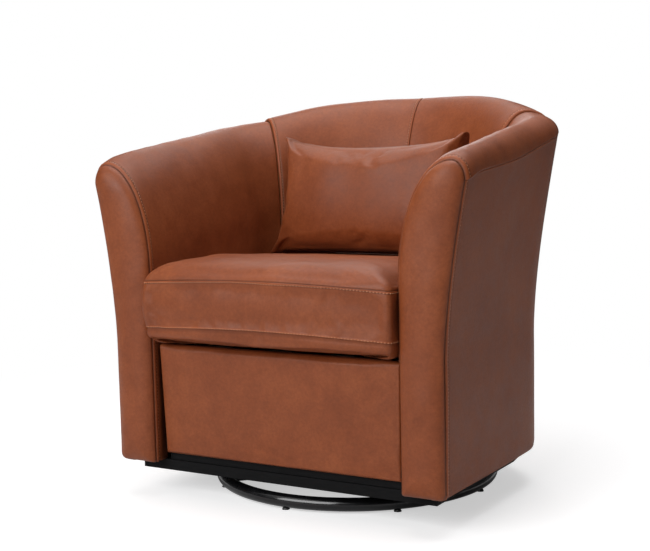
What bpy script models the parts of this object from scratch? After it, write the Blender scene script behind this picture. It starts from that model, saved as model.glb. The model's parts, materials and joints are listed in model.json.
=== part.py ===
"""Round swivel armchair: a leather tub on a tubular ring base.

Metres, +Z up, origin on the floor under the swivel axis. The chair faces -Y and +X is the
sitter's left. The tub wall is one U-shaped path, from the front of the arm at +X (share 0)
round the middle of the back (share 1) to the front of the arm at -X (share 2). A place in
the wall is given by its share of that path, its depth in from the outside face near the
floor, and its height.
"""

import math

import bmesh
import bpy
from mathutils import Vector
from mathutils.bvhtree import BVHTree

COLLECTION_NAME = "round_swivel_armchair"

# Clearances
CONTACT_GAP = 0.0003
SEAM_GAP = 0.0006
RUNNING_GAP = 0.0003
FRAME_CLEARANCE = 0.0010

# Plan of the tub at the floor end of its outside face
HALF_WIDTH = 0.3455
ARM_FRONT = 0.3105
CURVE_START = 0.056
BACK_REACH = 0.285

# Heights of the tub
TUB_BOTTOM = 0.067
SEAT_SUPPORT = 0.292
TOP_ARM_FRONT = 0.634
TOP_ARM_SHOULDER = 0.6485
TOP_ARM_RISE = 0.6635
TOP_ARM_MIDDLE = 0.684
TOP_ARM_REAR = 0.702
TOP_ARM_SEAM = 0.718
TOP_CORNER = 0.7505
TOP_BACK = 0.758
TOP_STATION_SHARES = (0.0, 0.05, 0.15, 0.3, 0.45, 0.583, 0.78, 1.0)

# Outward flare of the wall
FLARE_START = 0.300
FLARE_RUN = 0.300
FLARE_POWER = 1.5
FLARE_FRONT = 0.040
FLARE_ARM = 0.041
FLARE_ARM_REAR = 0.0357
FLARE_SEAM = 0.034
FLARE_CORNER = 0.027
FLARE_BACK_SIDE = 0.0325
FLARE_BACK = 0.039
FLARE_STATION_SHARES = (0.0, 0.2, 0.35, 0.5, 0.68, 0.85, 1.0)

# Section of the wall
WALL_FOOT = 0.084
ROLL_WIDTH_FRONT = 0.025
ROLL_WIDTH_ARM = 0.034
ROLL_WIDTH_SEAM = 0.045
ROLL_WIDTH_BACK = 0.027
ROLL_DROP_FRONT = 0.0345
ROLL_DROP_ARM = 0.0465
ROLL_DROP_SEAM = 0.029
ROLL_DROP_BACK = 0.030
ROLL_STATION_SHARES = (0.0, 0.3, 0.6, 1.0)
INNER_DROP_ARM = 0.200
INNER_DROP_SEAM = 0.215
INNER_DROP_CORNER = 0.400
INNER_DROP_BACK = 0.560
DROP_STATION_SHARES = (0.0, 0.35, 0.583, 0.8, 1.0)
SEAM_SHARE = 0.592
LEATHER = 0.002
TUCK_RADIUS = 0.012
TUCK_DEPTH = 0.029

# Padded panels on the arm fronts, and the panel under the seat
PANEL_BULGE = 0.010
PANEL_RING_SHARES = ((0.0, 0.0), (0.07, 0.45), (0.2, 0.72), (0.45, 0.93), (0.75, 1.0))
PANEL_CAP_DROP = 0.050
APRON_FRONT = 0.294
APRON_SIDE_GAP = 0.010
APRON_BOTTOM = 0.0845
APRON_BOW = 0.003
APRON_EDGE_RADIUS = 0.006
APRON_FOLD = 0.012
RETURN_DEPTH = 0.036

# Wooden frame
PLATFORM_INSET = 0.0315
PLATFORM_FRONT = 0.283
PLATFORM_THICKNESS = 0.020
PLATFORM_HOLE_RADIUS = 0.030
FRONT_BOARD_THICKNESS = 0.015
FRONT_BOARD_INSET = 0.0032
FRAME_DEPTH = 0.024
FRAME_SKIN = 0.0032
BOTTOM_HOOP_WIDTH = 0.040
BOTTOM_HOOP_HEIGHT = 0.040
SEAT_HOOP_WIDTH = 0.022
SEAT_HOOP_HEIGHT = 0.060
TOP_HOOP_WIDTH = 0.042
TOP_HOOP_HEIGHT = 0.030
TOP_HOOP_DROP = 0.050
FRONT_RAIL_THICKNESS = 0.022
FRONT_RAIL_LIFT = 0.0025
CORNER_BLOCK_REACH = 0.069
CORNER_BLOCK_DEPTH = 0.040
POST_SHARES = (0.600, 0.640)
SLAT_SHARES = (0.850, 0.890)
SPACER_DEPTH = 0.018
SPACER_FRONT = 0.280

# Seat webbing and deck cloth
WEBBING_WIDTH = 0.050
WEBBING_THICKNESS = 0.0018
LONG_WEB_PITCH = 0.130
CROSS_WEB_PLACES = (-0.130, 0.040)
WEB_END_INSET = 0.0305
WEB_FRONT_LAP = 0.008
DECK_THICKNESS = 0.0015
DECK_FRONT = 0.268
DECK_INSET = 0.0305

# Foam
FOAM_INSET = 0.0030

# Seat cushion
CUSHION_INSET = 0.0845
CUSHION_OVERHANG = 0.043
CUSHION_BOW = 0.017
CUSHION_CORNER = 0.022
CUSHION_SPREAD = 0.004
CUSHION_SPREAD_RUN = 0.012
CUSHION_LOWER_SEAM = 0.330
CUSHION_UPPER_SEAM = 0.4185
CUSHION_SEAM_RISE = 0.0095
CUSHION_CROWN = 0.460
CUSHION_BACK_DIP = 0.034
CUSHION_DIP_POWER = 1.2
CUSHION_SIDE_BULGE = 0.004
CUSHION_UNDERSIDE = 0.010
CUSHION_BOTTOM_LIFT = 0.009
CUSHION_CORNER_LIFT = 0.003
CUSHION_HEART = -0.190
CUSHION_TOP_SHARES = ((0.04, 0.42), (0.12, 0.76), (0.28, 0.94), (0.52, 0.995), (0.8, 1.0))
CUSHION_SKIN_INSET = 0.0036
ZIP_HALF_WIDTH = 0.150
ZIP_THICKNESS = 0.0014

# Lumbar pillow
PILLOW_HALF_WIDTH = 0.225
PILLOW_HALF_HEIGHT = 0.120
PILLOW_FRONT_CROWN = 0.052
PILLOW_BACK_CROWN = 0.100
PILLOW_EDGE = 0.004
PILLOW_SIDE_DRAW_SHARE = 0.09
PILLOW_TOP_DRAW_SHARE = 0.17
PILLOW_BOTTOM_DRAW_SHARE = 0.05
PILLOW_TAPER_SHARE = 0.05
PILLOW_LEAN_DEGREES = 8.0
PILLOW_TURN_DEGREES = 3.0
PILLOW_X = -0.008
PILLOW_Y = 0.030
PILLOW_Z = 0.700
PILLOW_RING_SHARES = (0.0, 0.05, 0.14, 0.28, 0.48, 0.74)
PILLOW_SIDE_STEPS = 6
PILLOW_ZIP_HALF_WIDTH = 0.150
SETTLE_REACH = 0.300
SETTLE_STEP = 0.010
SETTLE_PRECISION = 0.00005

# Swivel base
RING_RADIUS = 0.268
RING_TUBE_RADIUS = 0.0125
GLIDE_COUNT = 8
GLIDE_HEIGHT = 0.0035
GLIDE_RADIUS = 0.0075
GLIDE_TOP_RADIUS = 0.0060
SPIDER_WIDTH = 0.032
SPIDER_THICKNESS = 0.006
BEARING_PLATE_RADIUS = 0.075
BEARING_PLATE_THICKNESS = 0.003
BEARING_OUTER_RADIUS = 0.060
BEARING_INNER_RADIUS = 0.044
BEARING_CHAMFER = 0.002
TOP_PLATE_HALF_WIDTH = 0.100
TOP_PLATE_CORNER = 0.015
TOP_PLATE_THICKNESS = 0.003
BOLT_RADIUS = 0.008
BOLT_HEAD_RADIUS = 0.015
BOLT_HEAD_HEIGHT = 0.006
BOLT_CHAMFER = 0.001
NUT_RADIUS = 0.0135
NUT_HEIGHT = 0.010
SCREW_RADIUS = 0.0025
SCREW_HEAD_RADIUS = 0.006
SCREW_HEAD_HEIGHT = 0.002
SCREW_LENGTH = 0.018
SCREW_PLACE = 0.080

# Sizes that follow from the values above
APRON_HALF_WIDTH = HALF_WIDTH - WALL_FOOT - APRON_SIDE_GAP
CUSHION_REACH = ARM_FRONT + CUSHION_OVERHANG
PLATFORM_TOP = TUB_BOTTOM + LEATHER
PLATFORM_BOTTOM = PLATFORM_TOP - PLATFORM_THICKNESS
LONG_WEB_BOTTOM = SEAT_SUPPORT + CONTACT_GAP
CROSS_WEB_BOTTOM = LONG_WEB_BOTTOM + WEBBING_THICKNESS + CONTACT_GAP
DECK_BOTTOM = CROSS_WEB_BOTTOM + WEBBING_THICKNESS + CONTACT_GAP
SEAT_LEVEL = DECK_BOTTOM + DECK_THICKNESS + CONTACT_GAP
RING_HEIGHT = GLIDE_HEIGHT + CONTACT_GAP + RING_TUBE_RADIUS
SPIDER_TOP = RING_HEIGHT + SPIDER_THICKNESS / 2
TOP_PLATE_BOTTOM = PLATFORM_BOTTOM - CONTACT_GAP - TOP_PLATE_THICKNESS

PATH_STEPS = 96
ARM_STEPS = 4
CORNER_STEPS = 4
BACK_STEPS = 9
LINING_ROWS = 9
ROLL_ROWS = 4
RING_SEGMENTS = 48
TUBE_SEGMENTS = 10
ROUND_SEGMENTS = 24

LEATHER_FINISH = ("saddle_leather", (0.40, 0.155, 0.085), 0.42, 0.0)
FOAM_FINISH = ("foam", (0.86, 0.80, 0.62), 0.95, 0.0)
WOOD_FINISH = ("frame_wood", (0.72, 0.55, 0.36), 0.70, 0.0)
BOARD_FINISH = ("black_board", (0.02, 0.02, 0.022), 0.55, 0.0)
RING_FINISH = ("black_tube", (0.035, 0.036, 0.040), 0.18, 0.9)
STEEL_FINISH = ("zinc_steel", (0.62, 0.62, 0.64), 0.35, 1.0)
NYLON_FINISH = ("black_nylon", (0.03, 0.03, 0.03), 0.45, 0.0)
WEBBING_FINISH = ("webbing", (0.16, 0.14, 0.12), 0.90, 0.0)
DECK_FINISH = ("deck_cloth", (0.14, 0.075, 0.05), 0.95, 0.0)
ZIP_FINISH = ("zip_tape", (0.09, 0.045, 0.03), 0.80, 0.0)


def clear_scene():
    for item in list(bpy.data.objects):
        bpy.data.objects.remove(item, do_unlink=True)


def make_collection(name):
    collection = bpy.data.collections.new(name)
    bpy.context.scene.collection.children.link(collection)
    return collection


def finish_material(finish):
    name, colour, roughness, metallic = finish
    material = bpy.data.materials.get(name)
    if material is None:
        material = bpy.data.materials.new(name)
        material.use_nodes = True
        shader = material.node_tree.nodes["Principled BSDF"]
        shader.inputs["Base Color"].default_value = (*colour, 1.0)
        shader.inputs["Roughness"].default_value = roughness
        shader.inputs["Metallic"].default_value = metallic
        material.diffuse_color = (*colour, 1.0)
    return material


def add_object(name, data, finish):
    item = bpy.data.objects.new(name, data)
    data.materials.append(finish_material(finish))
    PARTS.objects.link(item)
    return item


def mesh_from_bmesh(name, shape, finish, smooth_degrees=None):
    bmesh.ops.recalc_face_normals(shape, faces=shape.faces)
    mesh = bpy.data.meshes.new(name)
    shape.to_mesh(mesh)
    shape.free()
    if smooth_degrees is not None:
        mesh.shade_smooth()
        mesh.set_sharp_from_angle(angle=math.radians(smooth_degrees))
    return add_object(name, mesh, finish)


def station_value(stations, values, place):
    """Smooth curve through the values at rising stations, level at both ends."""
    count = len(stations)
    slopes = [0.0] * count
    for i in range(1, count - 1):
        slopes[i] = (values[i + 1] - values[i - 1]) / (stations[i + 1] - stations[i - 1])
    slopes[0] = (values[1] - values[0]) / (stations[1] - stations[0])
    place = min(max(place, stations[0]), stations[-1])
    i = 0
    while i < count - 2 and place > stations[i + 1]:
        i += 1
    run = stations[i + 1] - stations[i]
    t = (place - stations[i]) / run
    return (
        values[i] * (1 - t) ** 2 * (1 + 2 * t)
        + slopes[i] * run * t * (1 - t) ** 2
        + values[i + 1] * t**2 * (3 - 2 * t)
        - slopes[i + 1] * run * t**2 * (1 - t)
    )


def measure_path():
    """Lengths along half of the path, and the ellipse angle at each step of its curve."""
    straight = ARM_FRONT + CURVE_START
    depth = BACK_REACH - CURVE_START
    lengths = [0.0]
    last = Vector((HALF_WIDTH, 0.0))
    for i in range(1, PATH_STEPS + 1):
        angle = math.pi / 2 * i / PATH_STEPS
        here = Vector((HALF_WIDTH * math.cos(angle), depth * math.sin(angle)))
        lengths.append(lengths[-1] + (here - last).length)
        last = here
    return straight, depth, lengths


PATH_STRAIGHT, PATH_DEPTH, PATH_LENGTHS = measure_path()
PATH_TOTAL = PATH_STRAIGHT + PATH_LENGTHS[-1]


def half_share(share):
    return share if share <= 1 else 2 - share


def plan_point(share):
    """Point on the outside face near the floor, and the outward direction there."""
    run = half_share(share) * PATH_TOTAL
    if run <= PATH_STRAIGHT:
        x, y, normal = HALF_WIDTH, run - ARM_FRONT, Vector((1.0, 0.0))
    else:
        run -= PATH_STRAIGHT
        i = 0
        while i < PATH_STEPS - 1 and PATH_LENGTHS[i + 1] < run:
            i += 1
        part = (run - PATH_LENGTHS[i]) / (PATH_LENGTHS[i + 1] - PATH_LENGTHS[i])
        angle = math.pi / 2 * (i + min(part, 1.0)) / PATH_STEPS
        x = HALF_WIDTH * math.cos(angle)
        y = CURVE_START + PATH_DEPTH * math.sin(angle)
        normal = Vector((math.cos(angle) / HALF_WIDTH, math.sin(angle) / PATH_DEPTH))
        normal.normalize()
    if share > 1:
        return Vector((-x, y)), Vector((-normal.x, normal.y))
    return Vector((x, y)), normal


def share_at_depth(distance):
    """Share of the path at a distance behind the arm's front."""
    return distance / PATH_TOTAL


def wall_point(share, depth, height):
    base, normal = plan_point(share)
    place = base - normal * depth
    return Vector((place.x, place.y, height))


def top_height(share):
    heights = (TOP_ARM_FRONT, TOP_ARM_SHOULDER, TOP_ARM_RISE, TOP_ARM_MIDDLE, TOP_ARM_REAR,
               TOP_ARM_SEAM, TOP_CORNER, TOP_BACK)
    return station_value(TOP_STATION_SHARES, heights, half_share(share))


def outer_depth(share, height):
    """Depth of the outside face at a height: negative where the wall flares out."""
    if height <= FLARE_START:
        return 0.0
    flares = (FLARE_FRONT, FLARE_ARM, FLARE_ARM_REAR, FLARE_SEAM, FLARE_CORNER,
              FLARE_BACK_SIDE, FLARE_BACK)
    flare = station_value(FLARE_STATION_SHARES, flares, half_share(share))
    return -flare * ((height - FLARE_START) / FLARE_RUN) ** FLARE_POWER


def roll_width(share):
    widths = (ROLL_WIDTH_FRONT, ROLL_WIDTH_ARM, ROLL_WIDTH_SEAM, ROLL_WIDTH_BACK)
    return station_value(ROLL_STATION_SHARES, widths, half_share(share))


def roll_drop(share):
    drops = (ROLL_DROP_FRONT, ROLL_DROP_ARM, ROLL_DROP_SEAM, ROLL_DROP_BACK)
    return station_value(ROLL_STATION_SHARES, drops, half_share(share))


def roll_height(share):
    return top_height(share) - roll_drop(share)


def inner_drop(share):
    drops = (INNER_DROP_ARM, INNER_DROP_ARM, INNER_DROP_SEAM, INNER_DROP_CORNER,
             INNER_DROP_BACK)
    return station_value(DROP_STATION_SHARES, drops, half_share(share))


def inner_depth(share, height, inset=0.0):
    """Depth of the inside face at a height."""
    top = top_height(share)
    drop = inner_drop(share)
    apex = outer_depth(share, roll_height(share)) + roll_width(share)
    reach = WALL_FOOT - apex
    level = (height - (top - drop)) / (drop - inset)
    if level <= 0:
        return WALL_FOOT - inset
    return apex + (reach - inset) * math.sqrt(max(0.0, 1 - level * level))


def inner_section(share, inset, low, rows):
    """Inside face from a low height up to the top of the roll, as (depth, height)."""
    top = top_height(share)
    drop = inner_drop(share)
    centre = top - drop
    apex = outer_depth(share, roll_height(share)) + roll_width(share)
    reach = WALL_FOOT - apex - inset
    drop -= inset
    last_angle = math.pi / 2
    points = []
    if low > centre:
        last_angle = math.acos((low - centre) / drop)
    else:
        points.append((WALL_FOOT - inset, low))
    for i in range(rows, -1, -1):
        angle = last_angle * (i / rows) ** 1.35
        points.append((apex + reach * math.sin(angle), centre + drop * math.cos(angle)))
    if low > centre:
        points.insert(1, tuple((p + q) / 2 for p, q in zip(points[0], points[1])))
    return points


def roll_section(share, inset, rows):
    """Outer quarter of the roll, from just past its top to the outside face."""
    height = roll_height(share)
    width, drop = roll_width(share), roll_drop(share)
    apex = outer_depth(share, height) + width
    points = []
    for i in range(1, rows + 1):
        angle = math.pi / 2 * i / rows
        depth = apex - (width - inset) * math.sin(angle)
        points.append((depth, height + (drop - inset) * math.cos(angle)))
    return points


def outer_section(share, inset, high, rows):
    """Outside face from a high height down to its tuck under the tub."""
    points = []
    low = TUB_BOTTOM + TUCK_RADIUS
    flared = max(2, rows - 1)
    for i in range(flared):
        height = high + (FLARE_START - high) * i / flared
        points.append((outer_depth(share, height) + inset, height))
    points.append((inset, FLARE_START))
    points.append((inset, low))
    turn = TUCK_RADIUS - inset
    for i in (1, 2):
        angle = math.pi / 2 * i / 2
        points.append(
            (TUCK_RADIUS - turn * math.cos(angle), low - turn * math.sin(angle))
        )
    points.append((TUCK_DEPTH, TUB_BOTTOM + inset))
    return points


def spread(first, last, steps):
    return [first + (last - first) * i / steps for i in range(steps + 1)]


def mirrored(shares):
    return [2 - share for share in reversed(shares)]


def arm_shares(first, seam_gap):
    """Shares from a first one at the arm's front to the seam between arm and back."""
    last = SEAM_SHARE - share_at_depth(seam_gap)
    corner = PATH_STRAIGHT / PATH_TOTAL
    shares = [first] + spread(share_at_depth(RETURN_DEPTH), corner, ARM_STEPS)
    return shares + spread(corner, last, CORNER_STEPS)[1:]


def back_shares(seam_gap, middle_gap):
    first = SEAM_SHARE + share_at_depth(seam_gap)
    return spread(first, 1 - share_at_depth(middle_gap), BACK_STEPS)


def loft(name, rings, finish, smooth_degrees=None):
    """Closed solid through equal rings of points, with a cap at each end."""
    shape = bmesh.new()
    rows = [[shape.verts.new(point) for point in ring] for ring in rings]
    for near, far in zip(rows, rows[1:]):
        for i in range(len(near)):
            k = (i + 1) % len(near)
            shape.faces.new((near[i], near[k], far[k], far[i]))
    caps = [shape.faces.new(rows[0]), shape.faces.new(rows[-1])]
    bmesh.ops.triangulate(shape, faces=caps)
    return mesh_from_bmesh(name, shape, finish, smooth_degrees)


def section_rings(shares, section):
    return [
        [wall_point(share, depth, height) for depth, height in section(share)]
        for share in shares
    ]


def leather_shell(name, columns, keep_face=None):
    """Sheet of leather over a grid of points, solidified inwards from its outer face."""
    mesh = bpy.data.meshes.new(name)
    points = [point for column in columns for point in column]
    rows = len(columns[0])
    faces = []
    for i in range(len(columns) - 1):
        for j in range(rows - 1):
            if keep_face is None or keep_face(i, j):
                first = i * rows + j
                faces.append((first, first + 1, first + rows + 1, first + rows))
    mesh.from_pydata(points, [], faces)
    trim = bmesh.new()
    trim.from_mesh(mesh)
    loose = [vert for vert in trim.verts if not vert.link_faces]
    bmesh.ops.delete(trim, geom=loose, context="VERTS")
    trim.to_mesh(mesh)
    trim.free()
    mesh.shade_smooth()
    item = add_object(name, mesh, LEATHER_FINISH)
    solidify(item, LEATHER)
    return item


def solidify(item, thickness):
    shell = item.modifiers.new("Thickness", "SOLIDIFY")
    shell.thickness = thickness
    shell.offset = -1.0
    shell.use_even_offset = True


def box(name, low, high, finish):
    shape = bmesh.new()
    bmesh.ops.create_cube(shape, size=1.0)
    size = [b - a for a, b in zip(low, high)]
    centre = Vector([(a + b) / 2 for a, b in zip(low, high)])
    bmesh.ops.scale(shape, vec=size, verts=shape.verts)
    item = mesh_from_bmesh(name, shape, finish)
    item.location = centre
    return item


def flat_outline(name, outlines, thickness, bottom, finish):
    """Flat piece in the XY plane from closed outlines: the first is its edge."""
    curve = bpy.data.curves.new(name, "CURVE")
    curve.dimensions = "2D"
    curve.fill_mode = "BOTH"
    curve.extrude = thickness / 2
    for outline in outlines:
        spline = curve.splines.new("POLY")
        spline.points.add(len(outline) - 1)
        for point, place in zip(spline.points, outline):
            point.co = (place[0], place[1], 0.0, 1.0)
        spline.use_cyclic_u = True
    item = add_object(name, curve, finish)
    item.location = (0.0, 0.0, bottom + thickness / 2)
    return item


def circle_outline(centre, radius, segments):
    turn = 2 * math.pi / segments
    return [
        (centre[0] + radius * math.cos(turn * i), centre[1] + radius * math.sin(turn * i))
        for i in range(segments)
    ]


def turned(name, profile, finish, segments=ROUND_SEGMENTS, closed=False):
    """Body turned about Z from a profile of (radius, height) at +X, top to bottom."""
    mesh = bpy.data.meshes.new(name)
    points = [(radius, 0.0, height) for radius, height in profile]
    edges = [(i, i + 1) for i in range(len(points) - 1)]
    if closed:
        edges.append((len(points) - 1, 0))
    mesh.from_pydata(points, edges, [])
    item = add_object(name, mesh, finish)
    screw = item.modifiers.new("Turn", "SCREW")
    screw.axis = "Z"
    screw.angle = 2 * math.pi
    screw.steps = segments
    screw.render_steps = segments
    screw.use_merge_vertices = True
    screw.merge_threshold = 0.00001
    return item


def rectangle(low_outer, high_outer, width, low, high):
    """Section of a rail, as (depth, height), from its outside depths at both heights."""
    return [
        (low_outer, low),
        (low_outer + width, low),
        (high_outer + width, high),
        (high_outer, high),
    ]


def build_base():
    bpy.ops.mesh.primitive_torus_add(
        location=(0.0, 0.0, RING_HEIGHT),
        major_radius=RING_RADIUS,
        minor_radius=RING_TUBE_RADIUS,
        major_segments=RING_SEGMENTS,
        minor_segments=TUBE_SEGMENTS,
    )
    ring = bpy.context.object
    ring.name = "base_ring"
    ring.data.name = "base_ring"
    for owner in list(ring.users_collection):
        owner.objects.unlink(ring)
    PARTS.objects.link(ring)
    ring.data.shade_smooth()
    ring.data.materials.append(finish_material(RING_FINISH))
    for i in range(GLIDE_COUNT):
        angle = 2 * math.pi * i / GLIDE_COUNT
        shape = bmesh.new()
        bmesh.ops.create_cone(
            shape,
            cap_ends=True,
            segments=14,
            radius1=GLIDE_RADIUS,
            radius2=GLIDE_TOP_RADIUS,
            depth=GLIDE_HEIGHT,
        )
        glide = mesh_from_bmesh(f"glide_{i + 1}", shape, NYLON_FINISH)
        glide.location = (
            RING_RADIUS * math.sin(angle),
            -RING_RADIUS * math.cos(angle),
            GLIDE_HEIGHT / 2,
        )
    build_spider()
    build_bearing()


def build_spider():
    """Cross of two flat bars, welded inside the ring, with the bolt's hole at its middle."""
    half = SPIDER_WIDTH / 2
    clear = (RING_RADIUS - RING_TUBE_RADIUS) * math.cos(math.pi / RING_SEGMENTS) - CONTACT_GAP
    reach = math.sqrt(clear * clear - half * half)
    outline = []
    for i in range(4):
        angle = math.radians(45.0 + 90.0 * i)
        along = Vector((math.cos(angle), math.sin(angle)))
        across = Vector((-along.y, along.x))
        outline.append(along * half - across * half)
        outline.append(along * reach - across * half)
        outline.append(along * reach + across * half)
    hole = circle_outline((0.0, 0.0), BOLT_RADIUS + RUNNING_GAP, ROUND_SEGMENTS)
    flat_outline(
        "base_spider",
        [outline, hole],
        SPIDER_THICKNESS,
        RING_HEIGHT - SPIDER_THICKNESS / 2,
        RING_FINISH,
    )


def build_bearing():
    hole = BOLT_RADIUS + RUNNING_GAP
    low = SPIDER_TOP + CONTACT_GAP
    high = low + BEARING_PLATE_THICKNESS
    turned(
        "lower_bearing_plate",
        [(hole, high), (BEARING_PLATE_RADIUS, high), (BEARING_PLATE_RADIUS, low), (hole, low)],
        STEEL_FINISH,
        closed=True,
    )
    low = high + CONTACT_GAP
    high = TOP_PLATE_BOTTOM - CONTACT_GAP
    turned(
        "bearing_ring",
        [
            (BEARING_INNER_RADIUS, high),
            (BEARING_OUTER_RADIUS - BEARING_CHAMFER, high),
            (BEARING_OUTER_RADIUS, high - BEARING_CHAMFER),
            (BEARING_OUTER_RADIUS, low + BEARING_CHAMFER),
            (BEARING_OUTER_RADIUS - BEARING_CHAMFER, low),
            (BEARING_INNER_RADIUS, low),
        ],
        NYLON_FINISH,
        closed=True,
    )
    head_top = RING_HEIGHT - SPIDER_THICKNESS / 2 - CONTACT_GAP
    nut_bottom = TOP_PLATE_BOTTOM + TOP_PLATE_THICKNESS + CONTACT_GAP
    bolt_top = nut_bottom + NUT_HEIGHT + BOLT_CHAMFER
    turned(
        "pivot_bolt",
        [
            (0.0, bolt_top),
            (BOLT_RADIUS - BOLT_CHAMFER, bolt_top),
            (BOLT_RADIUS, bolt_top - BOLT_CHAMFER),
            (BOLT_RADIUS, head_top),
            (BOLT_HEAD_RADIUS, head_top),
            (BOLT_HEAD_RADIUS, head_top - BOLT_HEAD_HEIGHT),
            (0.0, head_top - BOLT_HEAD_HEIGHT),
        ],
        STEEL_FINISH,
    )
    flat_outline(
        "lock_nut",
        [
            circle_outline((0.0, 0.0), NUT_RADIUS, 6),
            circle_outline((0.0, 0.0), hole, ROUND_SEGMENTS),
        ],
        NUT_HEIGHT,
        nut_bottom,
        STEEL_FINISH,
    )


def screw_places():
    return [(sx * SCREW_PLACE, sy * SCREW_PLACE) for sx in (-1, 1) for sy in (-1, 1)]


def build_top_plate():
    straight = TOP_PLATE_HALF_WIDTH - TOP_PLATE_CORNER
    outline = []
    for i, (sx, sy) in enumerate(((1, 1), (-1, 1), (-1, -1), (1, -1))):
        for k in range(4):
            angle = math.pi / 2 * (i + k / 3)
            outline.append(
                (
                    sx * straight + TOP_PLATE_CORNER * math.cos(angle),
                    sy * straight + TOP_PLATE_CORNER * math.sin(angle),
                )
            )
    screw_hole = SCREW_RADIUS + RUNNING_GAP
    holes = [circle_outline((0.0, 0.0), BOLT_RADIUS + RUNNING_GAP, ROUND_SEGMENTS)]
    holes += [circle_outline(place, screw_hole, 12) for place in screw_places()]
    flat_outline(
        "swivel_top_plate",
        [outline] + holes,
        TOP_PLATE_THICKNESS,
        TOP_PLATE_BOTTOM,
        STEEL_FINISH,
    )
    head_top = TOP_PLATE_BOTTOM - CONTACT_GAP
    for i, place in enumerate(screw_places()):
        screw = turned(
            f"plate_screw_{i + 1}",
            [
                (0.0, head_top + SCREW_LENGTH),
                (SCREW_RADIUS, head_top + SCREW_LENGTH),
                (SCREW_RADIUS, head_top),
                (SCREW_HEAD_RADIUS, head_top),
                (SCREW_HEAD_RADIUS, head_top - SCREW_HEAD_HEIGHT),
                (0.0, head_top - SCREW_HEAD_HEIGHT),
            ],
            STEEL_FINISH,
            segments=12,
        )
        screw.location = (place[0], place[1], 0.0)


def wall_outline(inset, front, steps):
    """Outline of a flat piece that follows the tub at an inset, cut square at the front."""
    start = share_at_depth(ARM_FRONT - front)
    shares = [start] + spread(PATH_STRAIGHT / PATH_TOTAL, 1.0, steps)
    shares += [2 - share for share in reversed(shares[:-1])]
    return [wall_point(share, inset, 0.0).xy for share in shares]


def build_platform():
    holes = [circle_outline((0.0, 0.0), PLATFORM_HOLE_RADIUS, ROUND_SEGMENTS)]
    hole_radius = SCREW_RADIUS + RUNNING_GAP
    holes += [circle_outline(place, hole_radius, 12) for place in screw_places()]
    flat_outline(
        "platform_board",
        [wall_outline(PLATFORM_INSET, PLATFORM_FRONT, 10)] + holes,
        PLATFORM_THICKNESS,
        PLATFORM_BOTTOM,
        BOARD_FINISH,
    )


def front_share():
    """Share of the path just behind the boards at the arms' fronts."""
    return share_at_depth(FRONT_BOARD_THICKNESS + 2 * CONTACT_GAP)


def build_hoops():
    """The three bent hoops of the frame: on the platform, under the seat, under the roll."""
    shares = arm_shares(front_share(), 0.0) + back_shares(0.0, 0.0)[1:]
    shares += mirrored(shares)[1:]
    low = PLATFORM_TOP + CONTACT_GAP

    def bottom_section(share):
        inner = FRAME_SKIN + BOTTOM_HOOP_WIDTH
        return [
            (TUCK_RADIUS + CONTACT_GAP, low),
            (inner, low),
            (inner, low + BOTTOM_HOOP_HEIGHT),
            (FRAME_SKIN, low + BOTTOM_HOOP_HEIGHT),
            (FRAME_SKIN, low + TUCK_RADIUS),
        ]

    def seat_section(share):
        outer = FRAME_SKIN + FRAME_DEPTH + FRAME_CLEARANCE
        return rectangle(outer, outer, SEAT_HOOP_WIDTH, SEAT_SUPPORT - SEAT_HOOP_HEIGHT,
                         SEAT_SUPPORT)

    def top_section(share):
        bottom = top_hoop_bottom(share)
        top = bottom + TOP_HOOP_HEIGHT
        return rectangle(frame_depth(share, bottom), frame_depth(share, top),
                         TOP_HOOP_WIDTH, bottom, top)

    for name, section in (
        ("bottom_hoop", bottom_section),
        ("seat_hoop", seat_section),
        ("top_hoop", top_section),
    ):
        loft(name, section_rings(shares, section), WOOD_FINISH)


def top_hoop_bottom(share):
    return top_height(share) - TOP_HOOP_DROP - TOP_HOOP_HEIGHT


def frame_depth(share, height):
    return outer_depth(share, height) + FRAME_SKIN


def build_uprights():
    """Posts under the seams between arms and back, and slats behind the back."""
    low = PLATFORM_TOP + CONTACT_GAP + BOTTOM_HOOP_HEIGHT + CONTACT_GAP
    for kind, shares in (("post", POST_SHARES), ("slat", SLAT_SHARES)):
        for side, ends in (("left", list(shares)), ("right", mirrored(shares))):
            high = min(top_hoop_bottom(share) for share in ends) - CONTACT_GAP
            rings = []
            for height in [low] + spread(FLARE_START, high, 5):
                depth = [frame_depth(share, height) for share in ends]
                near = [wall_point(share, d, height) for share, d in zip(ends, depth)]
                far = [wall_point(share, d + FRAME_DEPTH, height)
                       for share, d in zip(ends, depth)]
                rings.append(near + far[::-1])
            loft(f"back_{kind}_{side}", rings, WOOD_FINISH)


def front_outline(inset, low):
    """Tombstone outline of the arm's front end, as (depth, height)."""
    outline = inner_section(0.0, inset, low, 9)
    outline += roll_section(0.0, inset, 5)
    for height in spread(roll_height(0.0), FLARE_START, 4)[1:]:
        outline.append((outer_depth(0.0, height) + inset, height))
    outline.append((inset, low + TUCK_RADIUS))
    outline.append((inset + TUCK_RADIUS * (1 - math.cos(math.pi / 4)),
                    low + TUCK_RADIUS * (1 - math.cos(math.pi / 4))))
    outline.append((inset + TUCK_RADIUS, low))
    return outline


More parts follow.
